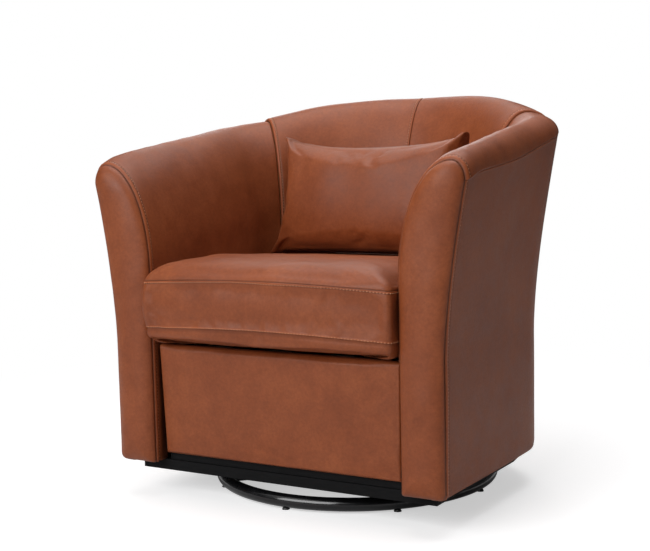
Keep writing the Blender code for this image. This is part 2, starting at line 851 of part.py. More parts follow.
def build_arm_fronts():
    outline = front_outline(FRONT_BOARD_INSET, TUB_BOTTOM + FRONT_BOARD_INSET)
    for side, sign in (("left", 1), ("right", -1)):
        rings = []
        for back in (CONTACT_GAP, CONTACT_GAP + FRONT_BOARD_THICKNESS):
            rings.append([
                Vector((sign * (HALF_WIDTH - depth), back - ARM_FRONT, height))
                for depth, height in outline
            ])
        loft(f"arm_front_board_{side}", rings, WOOD_FINISH)
    outline = front_outline(0.0, TUB_BOTTOM)
    cap = TOP_ARM_FRONT - PANEL_CAP_DROP
    foot = TUB_BOTTOM + (WALL_FOOT / 2)
    for side, sign in (("left", 1), ("right", -1)):
        rings = [[
            Vector((sign * (HALF_WIDTH - depth), -ARM_FRONT - CONTACT_GAP, height))
            for depth, height in outline
        ]]
        for inward, forward in PANEL_RING_SHARES:
            ring = []
            for depth, height in outline:
                level = min(max(height, foot), cap)
                middle = (outer_depth(0.0, level) + inner_depth(0.0, level)) / 2
                x = depth + (middle - depth) * inward
                z = height + (level - height) * inward
                y = -ARM_FRONT - CONTACT_GAP - LEATHER - PANEL_BULGE * forward
                ring.append(Vector((sign * (HALF_WIDTH - x), y, z)))
            rings.append(ring)
        loft(f"arm_front_panel_{side}", rings, LEATHER_FINISH, 50)


def build_seat_frame():
    rail_front = APRON_FRONT - LEATHER - CONTACT_GAP
    rail_back = rail_front - FRONT_RAIL_THICKNESS
    rail_half = APRON_HALF_WIDTH - CONTACT_GAP
    rail_bottom = APRON_BOTTOM + FRONT_RAIL_LIFT
    chamfer = APRON_EDGE_RADIUS
    section = [
        (-rail_back, rail_bottom),
        (-rail_back, SEAT_SUPPORT),
        (chamfer - rail_front, SEAT_SUPPORT),
        (-rail_front, SEAT_SUPPORT - chamfer),
        (-rail_front, rail_bottom + chamfer),
        (chamfer - rail_front, rail_bottom),
    ]
    rings = [[Vector((x, y, z)) for y, z in section] for x in (-rail_half, rail_half)]
    loft("front_rail", rings, WOOD_FINISH)
    box(
        "front_spacer",
        (-rail_half, -SPACER_FRONT, PLATFORM_TOP + CONTACT_GAP),
        (rail_half, SPACER_DEPTH - SPACER_FRONT, APRON_BOTTOM - CONTACT_GAP),
        BOARD_FINISH,
    )
    hoop_inside = FRAME_SKIN + FRAME_DEPTH + FRAME_CLEARANCE + SEAT_HOOP_WIDTH
    outer = HALF_WIDTH - hoop_inside - CONTACT_GAP
    low = -rail_back + CONTACT_GAP
    for side, sign in (("left", 1), ("right", -1)):
        ends = sorted((sign * outer, sign * (outer - CORNER_BLOCK_REACH)))
        box(
            f"corner_block_{side}",
            (ends[0], low, SEAT_SUPPORT - SEAT_HOOP_HEIGHT),
            (ends[1], low + CORNER_BLOCK_DEPTH, SEAT_SUPPORT - CONTACT_GAP),
            WOOD_FINISH,
        )


def wall_y(x, inset):
    """How far back the wall lies at a distance from the middle, at an inset."""
    low, high = PATH_STRAIGHT / PATH_TOTAL, 1.0
    for _ in range(40):
        middle = (low + high) / 2
        if wall_point(middle, inset, 0.0).x > abs(x):
            low = middle
        else:
            high = middle
    return wall_point(low, inset, 0.0).y


def build_webbing():
    half = WEBBING_WIDTH / 2
    top = LONG_WEB_BOTTOM + WEBBING_THICKNESS
    front = APRON_FRONT - APRON_FOLD + CONTACT_GAP
    for i in (-1, 0, 1):
        x = LONG_WEB_PITCH * i
        back = wall_y(abs(x) + half, WEB_END_INSET)
        box(
            f"long_webbing_{i + 2}",
            (x - half, -front + WEB_FRONT_LAP, LONG_WEB_BOTTOM),
            (x + half, back, top),
            WEBBING_FINISH,
        )
    reach = HALF_WIDTH - WEB_END_INSET
    for i, place in enumerate(CROSS_WEB_PLACES):
        box(
            f"cross_webbing_{i + 1}",
            (-reach, place - half, CROSS_WEB_BOTTOM),
            (reach, place + half, CROSS_WEB_BOTTOM + WEBBING_THICKNESS),
            WEBBING_FINISH,
        )
    flat_outline(
        "seat_deck",
        [wall_outline(DECK_INSET, DECK_FRONT, 10)],
        DECK_THICKNESS,
        DECK_BOTTOM,
        DECK_FINISH,
    )


def foam_section(share):
    """Wrap of foam over the top hoop and down the inside of the frame."""
    outline = inner_section(share, FOAM_INSET, SEAT_LEVEL, LINING_ROWS)
    outline += roll_section(share, FOAM_INSET, ROLL_ROWS)
    hoop_low = top_hoop_bottom(share)
    hoop_high = hoop_low + TOP_HOOP_HEIGHT + 2 * FRAME_CLEARANCE
    clear = TOP_HOOP_WIDTH + 2 * FRAME_CLEARANCE
    outline.append((frame_depth(share, hoop_high), hoop_high))
    outline.append((frame_depth(share, hoop_high) + clear, hoop_high))
    outline.append((frame_depth(share, hoop_low) + clear, hoop_low))
    for height in spread(hoop_low, SEAT_LEVEL, 4)[1:]:
        outline.append((frame_depth(share, height) + FRAME_DEPTH + FRAME_CLEARANCE, height))
    return outline


def build_foam():
    arm = arm_shares(front_share(), SEAM_GAP / 2)
    back = back_shares(SEAM_GAP / 2, 0.0)
    loft("arm_foam_left", section_rings(arm, foam_section), FOAM_FINISH)
    loft("arm_foam_right", section_rings(mirrored(arm), foam_section), FOAM_FINISH)
    loft("back_foam", section_rings(back + mirrored(back)[1:], foam_section), FOAM_FINISH)


def lining_columns(shares, with_return):
    """Grid of the inside and top leather, with the return beside the seat panel."""
    columns = []
    for share in shares:
        section = inner_section(share, 0.0, SEAT_LEVEL, LINING_ROWS)
        section += roll_section(share, 0.0, ROLL_ROWS)
        if with_return:
            section.insert(0, (WALL_FOOT, TUB_BOTTOM + LEATHER))
        columns.append([wall_point(share, depth, height) for depth, height in section])
    return columns


def outside_columns(shares):
    columns = []
    for share in shares:
        section = outer_section(share, 0.0, roll_height(share) - 2 * SEAM_GAP, 6)
        columns.append([wall_point(share, depth, height) for depth, height in section])
    return columns


def build_covers():
    arm = arm_shares(0.0, SEAM_GAP / 2)
    back = back_shares(SEAM_GAP / 2, SEAM_GAP / 2)
    outside_back = back_shares(SEAM_GAP / 2, 0.0)
    outside_back += mirrored(outside_back)[1:]
    last = len(arm) - 2
    leather_shell("arm_cover_left", lining_columns(arm, True), lambda i, j: j or not i)
    leather_shell(
        "arm_cover_right",
        lining_columns(mirrored(arm), True),
        lambda i, j: j or i == last,
    )
    leather_shell("back_cover_left", lining_columns(back, False))
    leather_shell("back_cover_right", lining_columns(mirrored(back), False))
    leather_shell("outside_arm_cover_left", outside_columns(arm))
    leather_shell("outside_arm_cover_right", outside_columns(mirrored(arm)))
    leather_shell("outside_back_cover", outside_columns(outside_back))


def build_apron():
    """Leather panel under the seat: turned under the front rail and folded over its top."""
    columns = []
    fold_height = LONG_WEB_BOTTOM + LEATHER
    radius = APRON_EDGE_RADIUS
    for share in spread(-1.0, 1.0, 8):
        bow = APRON_BOW * (1 - share * share)
        front = -APRON_FRONT - bow
        x = APRON_HALF_WIDTH * share
        profile = [
            (-APRON_FRONT + FRONT_RAIL_THICKNESS, APRON_BOTTOM),
            (front + radius, APRON_BOTTOM),
            (front + radius * (1 - math.cos(math.pi / 4)), APRON_BOTTOM + radius * (1 - math.cos(math.pi / 4))),
            (front, APRON_BOTTOM + radius),
            (front, (APRON_BOTTOM + fold_height) / 2),
            (front, fold_height - radius),
            (front + radius * (1 - math.cos(math.pi / 4)), fold_height - radius * (1 - math.cos(math.pi / 4))),
            (front + radius, fold_height),
            (-APRON_FRONT + APRON_FOLD, fold_height),
        ]
        columns.append([Vector((x, y, z)) for y, z in profile])
    columns.reverse()
    leather_shell("apron_cover", columns)


def cushion_outline(inset):
    """Plan of the cushion from the middle of its front, counter-clockwise."""
    half_width = HALF_WIDTH - CUSHION_INSET
    points = []
    corner = CUSHION_CORNER
    for share in spread(0.0, 1.0, 5):
        x = (half_width - corner) * share
        points.append(Vector((x, CUSHION_BOW * abs(x / half_width) ** 3 - CUSHION_REACH)))
    front = points[-1].y + corner
    for angle in (30.0, 60.0, 90.0):
        turn = math.radians(angle)
        place = (half_width - corner + corner * math.sin(turn), front - corner * math.cos(turn))
        points.append(Vector(place))
    start = share_at_depth(ARM_FRONT + front)
    straight = PATH_STRAIGHT / PATH_TOTAL
    shares = spread(start, straight, 4)[1:] + spread(straight, 1.0, 7)[1:]
    points += [wall_point(share, CUSHION_INSET, 0.0).xy for share in shares]
    points += [Vector((-point.x, point.y)) for point in reversed(points[1:-1])]
    normals = []
    for i, point in enumerate(points):
        along = (points[(i + 1) % len(points)] - points[i - 1]).normalized()
        normals.append(Vector((-along.y, along.x)))
    return [point + normal * inset for point, normal in zip(points, normals)]


def cushion_rings(skin):
    """Rings of the cushion from its underside to the top of its crown."""
    base = SEAT_LEVEL + skin
    front_edge = -CUSHION_REACH
    half_width = HALF_WIDTH - CUSHION_INSET

    def forward(point):
        return min(max((-ARM_FRONT - point.y) / CUSHION_OVERHANG, 0.0), 1.0)

    def clear_of_arms(point):
        clear = -ARM_FRONT - PANEL_BULGE - CUSHION_SPREAD - point.y
        return min(max(clear / CUSHION_SPREAD_RUN, 0.0), 1.0)

    def spread_out(point):
        wider = CUSHION_SPREAD * clear_of_arms(point) * point.x / half_width
        return Vector((point.x + wider, point.y))

    def dip(point):
        back = BACK_REACH - CUSHION_INSET - CUSHION_HEART
        reach = min(max((point.y - CUSHION_HEART) / back, 0.0), 1.0)
        return CUSHION_BACK_DIP * reach**CUSHION_DIP_POWER

    def rise(point):
        side = 1 - (point.x / half_width) ** 2
        reach = min(max((CUSHION_HEART - point.y) / (CUSHION_HEART - front_edge), 0.0), 1.0)
        return CUSHION_SEAM_RISE * side * reach

    rings = []
    under = cushion_outline(skin + 3 * CUSHION_UNDERSIDE)
    rings.append([Vector((p.x, p.y, base)) for p in under])
    under = cushion_outline(skin + CUSHION_UNDERSIDE)

    def lift(point):
        corner = CUSHION_CORNER_LIFT * abs(point.x / half_width) ** 4
        return forward(point) * (CUSHION_BOTTOM_LIFT + corner)

    rings.append([Vector((p.x, p.y, base + lift(p))) for p in under])
    edge = [spread_out(point) for point in cushion_outline(skin)]
    low_seam = CUSHION_LOWER_SEAM + skin / 2
    rings.append([Vector((p.x, p.y, low_seam + rise(p))) for p in edge])
    middle = (CUSHION_LOWER_SEAM + CUSHION_UPPER_SEAM) / 2
    ring = []
    for point, wide in zip(edge, cushion_outline(skin - CUSHION_SIDE_BULGE)):
        place = point.lerp(spread_out(wide), clear_of_arms(point))
        ring.append(Vector((place.x, place.y, middle + rise(point))))
    rings.append(ring)
    seam = [Vector((p.x, p.y, CUSHION_UPPER_SEAM - skin / 2 + rise(p))) for p in edge]
    rings.append([Vector((p.x, p.y, p.z - dip(p))) for p in seam])
    heart = Vector((0.0, CUSHION_HEART))
    for inward, upward in CUSHION_TOP_SHARES:
        ring = []
        for point in seam:
            place = point.xy.lerp(heart, inward)
            height = point.z + (CUSHION_CROWN - skin - point.z) * upward
            ring.append(Vector((place.x, place.y, height - dip(place))))
        rings.append(ring)
    return rings


def ring_surface(rings, skip=None):
    """Mesh data for a surface through rings, closed at both ends, with a gap at skip."""
    count = len(rings[0])
    points = [point for ring in rings for point in ring]
    faces = []
    for i in range(len(rings) - 1):
        for k in range(count):
            n = (k + 1) % count
            if skip is None or not skip(i, k):
                faces.append((i * count + k, i * count + n, (i + 1) * count + n,
                              (i + 1) * count + k))
    faces.append(tuple(reversed(range(count))))
    last = (len(rings) - 1) * count
    faces.append(tuple(range(last, last + count)))
    return points, faces


def skinned_piece(name, rings, skip):
    points, faces = ring_surface(rings, skip)
    mesh = bpy.data.meshes.new(name)
    mesh.from_pydata(points, [], faces)
    mesh.shade_smooth()
    item = add_object(name, mesh, LEATHER_FINISH)
    solidify(item, LEATHER)
    return item


def zip_strip(name, lower, upper):
    """Zip tape closing a slot between two edges of a leather skin."""
    columns = []
    for i, (low, high) in enumerate(zip(lower, upper)):
        span = high - low
        inset = span.normalized() * SEAM_GAP
        ends = [low + inset, high - inset]
        if i in (0, len(lower) - 1):
            other = 1 if i == 0 else len(lower) - 2
            along = (lower[other] - low).normalized() * SEAM_GAP
            ends = [end + along for end in ends]
        columns.append(ends)
    mesh = bpy.data.meshes.new(name)
    points = [point for column in columns for point in column]
    faces = [(2 * i, 2 * i + 2, 2 * i + 3, 2 * i + 1) for i in range(len(columns) - 1)]
    mesh.from_pydata(points, [], faces)
    item = add_object(name, mesh, ZIP_FINISH)
    solidify(item, ZIP_THICKNESS)
    return item


def build_cushion():
    rings = cushion_rings(0.0)
    count = len(rings[0])
    slot = [k for k in range(count)
            if rings[2][k].y > 0 and abs(rings[2][k].x) <= ZIP_HALF_WIDTH]

    def skip(i, k):
        return i == 2 and k in slot and (k + 1) in slot

    cover = skinned_piece("seat_cushion_cover", rings, skip)
    zip_strip("seat_cushion_zip", [rings[2][k] for k in slot], [rings[3][k] for k in slot])
    loft("seat_cushion_foam", cushion_rings(CUSHION_SKIN_INSET), FOAM_FINISH)
    return cover


def pillow_rings(skin):
    """Rings of the pillow about its own middle, from its back crown to its front crown."""
    half_width = PILLOW_HALF_WIDTH - skin
    half_height = PILLOW_HALF_HEIGHT - skin
    square = []
    for side in range(4):
        for share in spread(-1.0, 1.0, PILLOW_SIDE_STEPS)[:-1]:
            square.append(((share, -1.0), (1.0, share), (-share, 1.0), (-1.0, -share))[side])
    faces = []
    for sign, crown in ((1, PILLOW_BACK_CROWN), (-1, PILLOW_FRONT_CROWN)):
        rings = []
        for inward in PILLOW_RING_SHARES:
            ring = []
            for u, v in square:
                u, v = u * (1 - inward), v * (1 - inward)
                width = half_width * (1 - PILLOW_TAPER_SHARE * v)
                x = width * u * (1 - PILLOW_SIDE_DRAW_SHARE * (1 - v * v) * abs(u))
                draw = PILLOW_TOP_DRAW_SHARE if v > 0 else PILLOW_BOTTOM_DRAW_SHARE
                z = half_height * v * (1 - draw * (1 - u * u) * abs(v))
                fullness = (max(0.0, 1 - u * u) * max(0.0, 1 - v * v)) ** 0.42
                edge = PILLOW_EDGE - skin / 2
                ring.append(Vector((x, sign * (edge + (crown - edge - skin) * fullness), z)))
            rings.append(ring)
        faces.append(rings)
    return list(reversed(faces[0])) + faces[1]


def world_tree(item, offset):
    """Search tree of an object's faces in world space, moved by an offset."""
    evaluated = item.evaluated_get(bpy.context.evaluated_depsgraph_get())
    mesh = evaluated.to_mesh()
    points = [item.matrix_world @ vert.co + offset for vert in mesh.vertices]
    tree = BVHTree.FromPolygons(points, [tuple(face.vertices) for face in mesh.polygons])
    evaluated.to_mesh_clear()
    return tree


def free_run(movers, still, way):
    """How far the movers can go along a direction before they touch what stays still."""
    bpy.context.view_layer.update()
    walls = [world_tree(item, Vector()) for item in still]

    def is_free(distance):
        trees = [world_tree(item, way * distance) for item in movers]
        return not any(tree.overlap(wall) for tree in trees for wall in walls)

    low = 0.0
    while low < SETTLE_REACH and is_free(low + SETTLE_STEP):
        low += SETTLE_STEP
    high = low + SETTLE_STEP
    while high - low > SETTLE_PRECISION:
        middle = (low + high) / 2
        if is_free(middle):
            low = middle
        else:
            high = middle
    return low


def build_pillow(cushion, backs):
    """Lumbar pillow, lowered on to the cushion and slid back against the wall."""
    rings = pillow_rings(0.0)
    count = len(rings[0])
    middle = len(PILLOW_RING_SHARES) - 1
    slot = [k for k in range(count)
            if rings[middle][k].z < 0 and abs(rings[middle][k].x) <= PILLOW_ZIP_HALF_WIDTH]

    def skip(i, k):
        return i == middle and k in slot and (k + 1) in slot

    cover = skinned_piece("pillow_cover", rings, skip)
    lower = [rings[middle][k] for k in slot]
    upper = [rings[middle + 1][k] for k in slot]
    tape = zip_strip("pillow_zip", lower, upper)
    fill = loft("pillow_fill", pillow_rings(CUSHION_SKIN_INSET), FOAM_FINISH)
    pieces = (cover, tape, fill)
    for item in pieces:
        item.location = (PILLOW_X, PILLOW_Y, PILLOW_Z)
        item.rotation_euler.x = -math.radians(PILLOW_LEAN_DEGREES)
        item.rotation_euler.z = -math.radians(PILLOW_TURN_DEGREES)
    for way in (Vector((0, 0, -1)), Vector((0, 1, 0))) * 3 + (Vector((0, 0, -1)),):
        run = free_run((cover, tape), [cushion] + backs, way) - CONTACT_GAP
        for item in pieces:
            item.location += way * run


def main():
    build_base()
    build_top_plate()
    build_platform()
    build_hoops()
    build_uprights()
    build_arm_fronts()
    build_seat_frame()
    build_webbing()
    build_foam()
    build_covers()
    build_apron()
    cushion = build_cushion()
    backs = [bpy.data.objects[f"back_cover_{side}"] for side in ("left", "right")]
    build_pillow(cushion, backs)


clear_scene()
PARTS = make_collection(COLLECTION_NAME)
main()
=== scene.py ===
"""Looks of the round swivel armchair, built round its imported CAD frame.

Metres, +Z up, origin on the floor under the swivel axis, the chair facing -Y. The leather
of the tub is drawn from the same wall description as the CAD: a place is given by its share
of the U-shaped path, its depth in from the outside face, and its height.
"""

import json
import math
from contextlib import contextmanager

import bmesh
import bpy
import numpy as np
from mathutils import Matrix, Vector


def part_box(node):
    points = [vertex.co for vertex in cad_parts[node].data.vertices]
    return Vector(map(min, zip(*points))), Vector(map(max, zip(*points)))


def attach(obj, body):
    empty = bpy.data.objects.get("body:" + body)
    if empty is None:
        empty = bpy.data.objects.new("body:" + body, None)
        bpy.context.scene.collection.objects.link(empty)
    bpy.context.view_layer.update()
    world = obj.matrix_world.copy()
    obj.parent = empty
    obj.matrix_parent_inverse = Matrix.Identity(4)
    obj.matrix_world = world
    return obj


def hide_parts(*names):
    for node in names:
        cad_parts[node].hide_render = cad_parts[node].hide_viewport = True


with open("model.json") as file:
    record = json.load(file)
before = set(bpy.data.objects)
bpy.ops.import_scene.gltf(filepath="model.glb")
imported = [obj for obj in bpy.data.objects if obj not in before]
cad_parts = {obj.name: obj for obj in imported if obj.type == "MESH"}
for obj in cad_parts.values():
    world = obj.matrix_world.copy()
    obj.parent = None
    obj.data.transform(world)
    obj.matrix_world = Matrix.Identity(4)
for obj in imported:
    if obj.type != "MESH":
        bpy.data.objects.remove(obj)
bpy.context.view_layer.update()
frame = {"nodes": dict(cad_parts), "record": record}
NODES = frame["nodes"]

# Camera, fitted to the photo

CAMERA_PLACE = (1.226, -2.170, 0.656)
CAMERA_AZIMUTH, CAMERA_ELEVATION, CAMERA_ROLL = 30.734, 5.771, -1.251
FOCAL_PIXELS, IMAGE_WIDTH = 1263.7, 650
SENSOR_WIDTH = 36.0
FRAME_SHIFT = 0.0008
FAR_CLIP = 50.0


def assign(target, **values):
    for key, value in values.items():
        setattr(target, key, value)
    return target


def new_object(name, data):
    item = bpy.data.objects.new(name, data)
    bpy.context.scene.collection.objects.link(item)
    return item


def make_camera():
    data = assign(
        bpy.data.cameras.new("camera"), sensor_width=SENSOR_WIDTH, clip_end=FAR_CLIP,
        lens=FOCAL_PIXELS * SENSOR_WIDTH / IMAGE_WIDTH, shift_x=-FRAME_SHIFT, shift_y=FRAME_SHIFT)
    camera = new_object("camera", data)
    turns = ((CAMERA_AZIMUTH, "Z"), (90 - CAMERA_ELEVATION, "X"), (CAMERA_ROLL, "Z"))
    camera.matrix_world = Matrix.Translation(CAMERA_PLACE)
    for degrees, axis in turns:
        camera.matrix_world @= Matrix.Rotation(math.radians(degrees), 4, axis)
    bpy.context.scene.camera = camera


make_camera()

# Lines of points


def running(line):
    """Distance along a polyline to each of its points."""
    return np.r_[0.0, np.cumsum(np.linalg.norm(np.diff(line, axis=0), axis=1))]


def read_at(values, run, lengths):
    """Rows of values that are known at rising distances, read at other distances."""
    return np.stack([np.interp(lengths, run, column) for column in values.T], -1)


def resample(line, lengths):
    """Points of a polyline at the given distances along it."""
    return read_at(line, running(line), lengths)


def line_length(line):
    return np.linalg.norm(np.diff(line, axis=0), axis=1).sum()


def quarter(radius, count=7):
    """Rounding of a square corner: distances from its two sides, from one side to the other."""
    turn = np.linspace(0.0, math.pi / 2, count)
    return radius * (1 - np.cos(turn)), radius * (1 - np.sin(turn))


# Wall of the tub, as in the CAD

HALF_WIDTH, ARM_FRONT, CURVE_START, BACK_REACH = 0.3455, 0.3105, 0.056, 0.285
TUB_BOTTOM, SEAT_LEVEL = 0.067, 0.2984
TOP_PLACES = (0.0, 0.05, 0.15, 0.3, 0.45, 0.583, 0.78, 1.0)
TOP_HEIGHTS = (0.634, 0.6485, 0.6635, 0.684, 0.702, 0.718, 0.7505, 0.758)
FLARE_PLACES = (0.0, 0.2, 0.35, 0.5, 0.68, 0.85, 1.0)
FLARES = (0.040, 0.041, 0.0357, 0.034, 0.027, 0.0325, 0.039)
FLARE_START, FLARE_RUN, FLARE_POWER = 0.300, 0.300, 1.5
ROLL_PLACES = (0.0, 0.3, 0.6, 1.0)
ROLL_WIDTHS = (0.025, 0.034, 0.045, 0.027)
ROLL_DROPS = (0.0345, 0.0465, 0.029, 0.030)
DROP_PLACES = (0.0, 0.35, 0.583, 0.8, 1.0)
DROPS = (0.200, 0.200, 0.215, 0.400, 0.560)
WALL_FOOT = 0.084
SEAM_SHARE = 0.592
TUCK_RADIUS, TUCK_DEPTH = 0.012, 0.029
LEATHER_THICKNESS = 0.0016
LINING_UNDER = 0.002

# Points on the curve of the plan, and on the parts of a section
CURVE_STEPS, ROLL_STEPS, FACE_STEPS, OUTSIDE_STEPS, TUCK_STEPS = 1500, 40, 160, 60, 14
FACE_CROWDING = 1.2

ANGLES = np.linspace(0.0, math.pi / 2, CURVE_STEPS)
CURVE_DEPTH = BACK_REACH - CURVE_START
CURVE_RUN = running(np.c_[HALF_WIDTH * np.cos(ANGLES), CURVE_DEPTH * np.sin(ANGLES)])
STRAIGHT = ARM_FRONT + CURVE_START
PATH_TOTAL = STRAIGHT + CURVE_RUN[-1]


def half_share(share):
    share = np.asarray(share, float)
    return np.where(share > 1, 2 - share, share)


def plan(share):
    """Points on the outside face near the floor, and the outward normals there."""
    run = half_share(share) * PATH_TOTAL
    angle = np.interp(run - STRAIGHT, CURVE_RUN, ANGLES)
    straight = run <= STRAIGHT
    x = np.where(straight, HALF_WIDTH, HALF_WIDTH * np.cos(angle))
    y = np.where(straight, run - ARM_FRONT, CURVE_START + CURVE_DEPTH * np.sin(angle))
    nx = np.where(straight, 1.0, np.cos(angle) / HALF_WIDTH)
    ny = np.where(straight, 0.0, np.sin(angle) / CURVE_DEPTH)
    size = np.hypot(nx, ny)
    side = np.where(np.asarray(share) > 1, -1.0, 1.0)
    return x * side, y, nx / size * side, ny / size


def along_wall(places, values):
    """A measure of the wall that runs smoothly through its values at shares of the path."""
    places, values = np.asarray(places), np.asarray(values)
    slopes = np.zeros(len(places))
    slopes[1:-1] = (values[2:] - values[:-2]) / (places[2:] - places[:-2])
    slopes[0] = (values[1] - values[0]) / (places[1] - places[0])

    def measure(share):
        at = np.clip(half_share(share), places[0], places[-1])
        i = np.clip(np.searchsorted(places, at, side="right") - 1, 0, len(places) - 2)
        run = places[i + 1] - places[i]
        t = (at - places[i]) / run
        return (
            values[i] * (1 - t) ** 2 * (1 + 2 * t)
            + slopes[i] * run * t * (1 - t) ** 2
            + values[i + 1] * t**2 * (3 - 2 * t)
            - slopes[i + 1] * run * t**2 * (1 - t)
        )

    return measure


top_height = along_wall(TOP_PLACES, TOP_HEIGHTS)
roll_width = along_wall(ROLL_PLACES, ROLL_WIDTHS)
roll_drop = along_wall(ROLL_PLACES, ROLL_DROPS)
inner_drop = along_wall(DROP_PLACES, DROPS)
flare = along_wall(FLARE_PLACES, FLARES)


def outer_depth(share, height):
    rise = np.maximum((height - FLARE_START) / FLARE_RUN, 0.0)
    return -flare(share) * rise**FLARE_POWER


def roll_height(share):
    return top_height(share) - roll_drop(share)


def apex_depth(share):
    return outer_depth(share, roll_height(share)) + roll_width(share)


def inner_depth(share, height):
    top, drop, apex = top_height(share), inner_drop(share), apex_depth(share)
    level = np.clip((height - (top - drop)) / drop, 0.0, 1.0)
    return apex + (WALL_FOOT - apex) * np.sqrt(1 - level**2)


def wall(share, depth, height):
    x, y, nx, ny = plan(share)
    return np.stack([x - nx * depth, y - ny * depth, height + 0 * x], axis=-1)


def lining_line(share, low):
    """Section of the inside leather from the roll's outer seam down to a low height."""
    top, drop, apex = top_height(share), inner_drop(share), apex_depth(share)
    width, fall = roll_width(share), roll_drop(share)
    turn = np.linspace(math.pi / 2, 0.0, ROLL_STEPS)
    roll = np.c_[apex - width * np.sin(turn), top - fall + fall * np.cos(turn)]
    centre = top - drop
    last = math.pi / 2 if low <= centre else math.acos((low - centre) / drop)
    turn = last * np.linspace(0.0, 1.0, FACE_STEPS)[1:] ** FACE_CROWDING
    reach = WALL_FOOT - apex
    line = np.r_[roll, np.c_[apex + reach * np.sin(turn), centre + drop * np.cos(turn)]]
    if low < centre:
        line = np.r_[line, [[WALL_FOOT, low]]]
    return line


def outside_line(share):
    """Section of the outside leather from the roll's seam down to its tuck."""
    heights = np.linspace(float(roll_height(share)), FLARE_START, OUTSIDE_STEPS)
    inward, above = quarter(TUCK_RADIUS, TUCK_STEPS)
    face = np.c_[outer_depth(share, heights), heights]
    return np.r_[face, np.c_[inward, TUB_BOTTOM + above], [[TUCK_DEPTH, TUB_BOTTOM]]]


# Relief of sewn leather

SEAM_STEPS = np.array([0, 0.7, 1.4, 2.4, 3.8, 5.8, 7.4, 8.8, 10.2, 12, 15, 20, 27, 35]) / 1000
NEAR_STEPS = SEAM_STEPS[:11]
STITCH_STEP, MIDDLE_STITCH_STEP, LOWER_STITCH_STEP = 7, 5, 4
NARROW, MIDDLE_NARROW, ROLL_NARROW = 0.45, 0.66, 0.55
FRONT_TURN, FRONT_GROOVE = 0.0012, 0.22

# Millimetres beside a seam: the groove and the slow fall into it, the raised strip, and the
# dip that the stitches lie in
GROOVE_DEPTH, GROOVE_WIDTH, FALL_DEPTH, FALL_RUN = 1.7, 0.9, 0.5, 4.5
STRIP_RISE, STRIP_START, STRIP_END, STRIP_EDGE = 1.1, 1.6, 8.0, 2.5
DIP_DEPTH, DIP_PLACE, DIP_WIDTH = 1.1, 8.8, 1.3

# Painted tone beside a seam: painted shade in the groove and in the stitched dip, and a painted
# highlight on the raised strip
GROOVE_SHADE_SHARE, GROOVE_SHADE_WIDTH = 0.55, 0.85
STRIP_HIGHLIGHT_SHARE, STRIP_HIGHLIGHT_START, STRIP_HIGHLIGHT_END, STRIP_HIGHLIGHT_EDGE = 0.2, 1.8, 7.4, 3.0

PUCKER_PITCH, PUCKER_WANDER, WANDER_RATE = 0.0062, 1.5, 61
PATCH_SIZE, PATCH_MEAN, PATCH_SWING, PATCH_MOST = 0.09, 0.45, 0.8, 1.2
NOISE_WAVES, NOISE_SPREAD = 10, (0.6, 1.3)
TONE_NAME = "seam_tone"


def spaced(total, step):
    """Distances from one edge to the other, closer together beside both seams."""
    inside = total - 2 * SEAM_STEPS[-1]
    count = max(2, int(round(inside / step)))
    middle = SEAM_STEPS[-1] + inside * np.arange(1, count) / count
    return np.r_[SEAM_STEPS, middle, total - SEAM_STEPS[::-1]]


def soft_noise(points, size, seed):
    """Smooth random field of about unit height over points, with features of one size."""
    rng = np.random.default_rng(seed)
    total = np.zeros(points.shape[:-1])
    for _ in range(NOISE_WAVES):
        way = rng.normal(size=3)
        way *= 2 * math.pi / size * rng.uniform(*NOISE_SPREAD) / np.linalg.norm(way)
        total += np.cos(points @ way + rng.uniform(0, 2 * math.pi))
    return total / math.sqrt(NOISE_WAVES / 2)


def waves(points, *layers):
    """Unevenness of a surface: layers of noise, each with its height, size and seed."""
    return sum(height * soft_noise(points, size, seed) for height, size, seed in layers)


def unit(vectors):
    return vectors / np.maximum(np.linalg.norm(vectors, axis=-1, keepdims=True), 1e-12)


def grid_normals(points, closed=False):
    if closed:
        wrapped = np.concatenate([points[-1:], points, points[:1]], axis=0)
        along = wrapped[2:] - wrapped[:-2]
    else:
        along = np.gradient(points, axis=0)
    return unit(np.cross(along, np.gradient(points, axis=1)))


def peak(distance, place, width):
    return np.exp(-(((distance - place) / width) ** 2))


def plateau(distance, start, end, edge):
    """About 1 from the start to the end, and 0 beyond, with soft edges."""
    rise = 1 / (1 + np.exp((start - distance) * edge))
    return rise - 1 / (1 + np.exp((end - distance) * edge))


def seam_relief(distance, strip=1.0, narrow=1.0, deep=1.0):
    """Height of stitched leather beside a seam: a groove, a raised strip, a stitched dip."""
    d = distance * 1000 / narrow
    groove = GROOVE_DEPTH * peak(d, 0, GROOVE_WIDTH) + FALL_DEPTH * np.exp(-d / FALL_RUN)
    band = STRIP_RISE * plateau(d, STRIP_START, STRIP_END, STRIP_EDGE)
    dip = DIP_DEPTH * peak(d, DIP_PLACE, DIP_WIDTH)
    return (strip * (band - dip) - deep * groove) / 1000 * math.sqrt(narrow)


def seam_tone(distance, strip=1.0, narrow=1.0, dip_shade=0.8):
    """Painted shade in the groove and in the stitched dip, and a painted highlight on the raised
    strip, beside a seam.
    """
    d = distance * 1000 / narrow
    # Painted highlight on the raised strip, painted shade in the stitched dip and in the groove
    strip_highlight = STRIP_HIGHLIGHT_SHARE * plateau(d, STRIP_HIGHLIGHT_START, STRIP_HIGHLIGHT_END, STRIP_HIGHLIGHT_EDGE)
    painted_dip_shade = dip_shade * peak(d, DIP_PLACE, DIP_WIDTH)
    return strip * (strip_highlight - painted_dip_shade) - GROOVE_SHADE_SHARE * peak(d, 0, GROOVE_SHADE_WIDTH)


def edge_turn(distance):
    """How far leather has turned in towards a front edge with a rounded corner."""
    left = FRONT_TURN - np.minimum(distance, FRONT_TURN)
    return FRONT_TURN - np.sqrt(FRONT_TURN**2 - left**2)


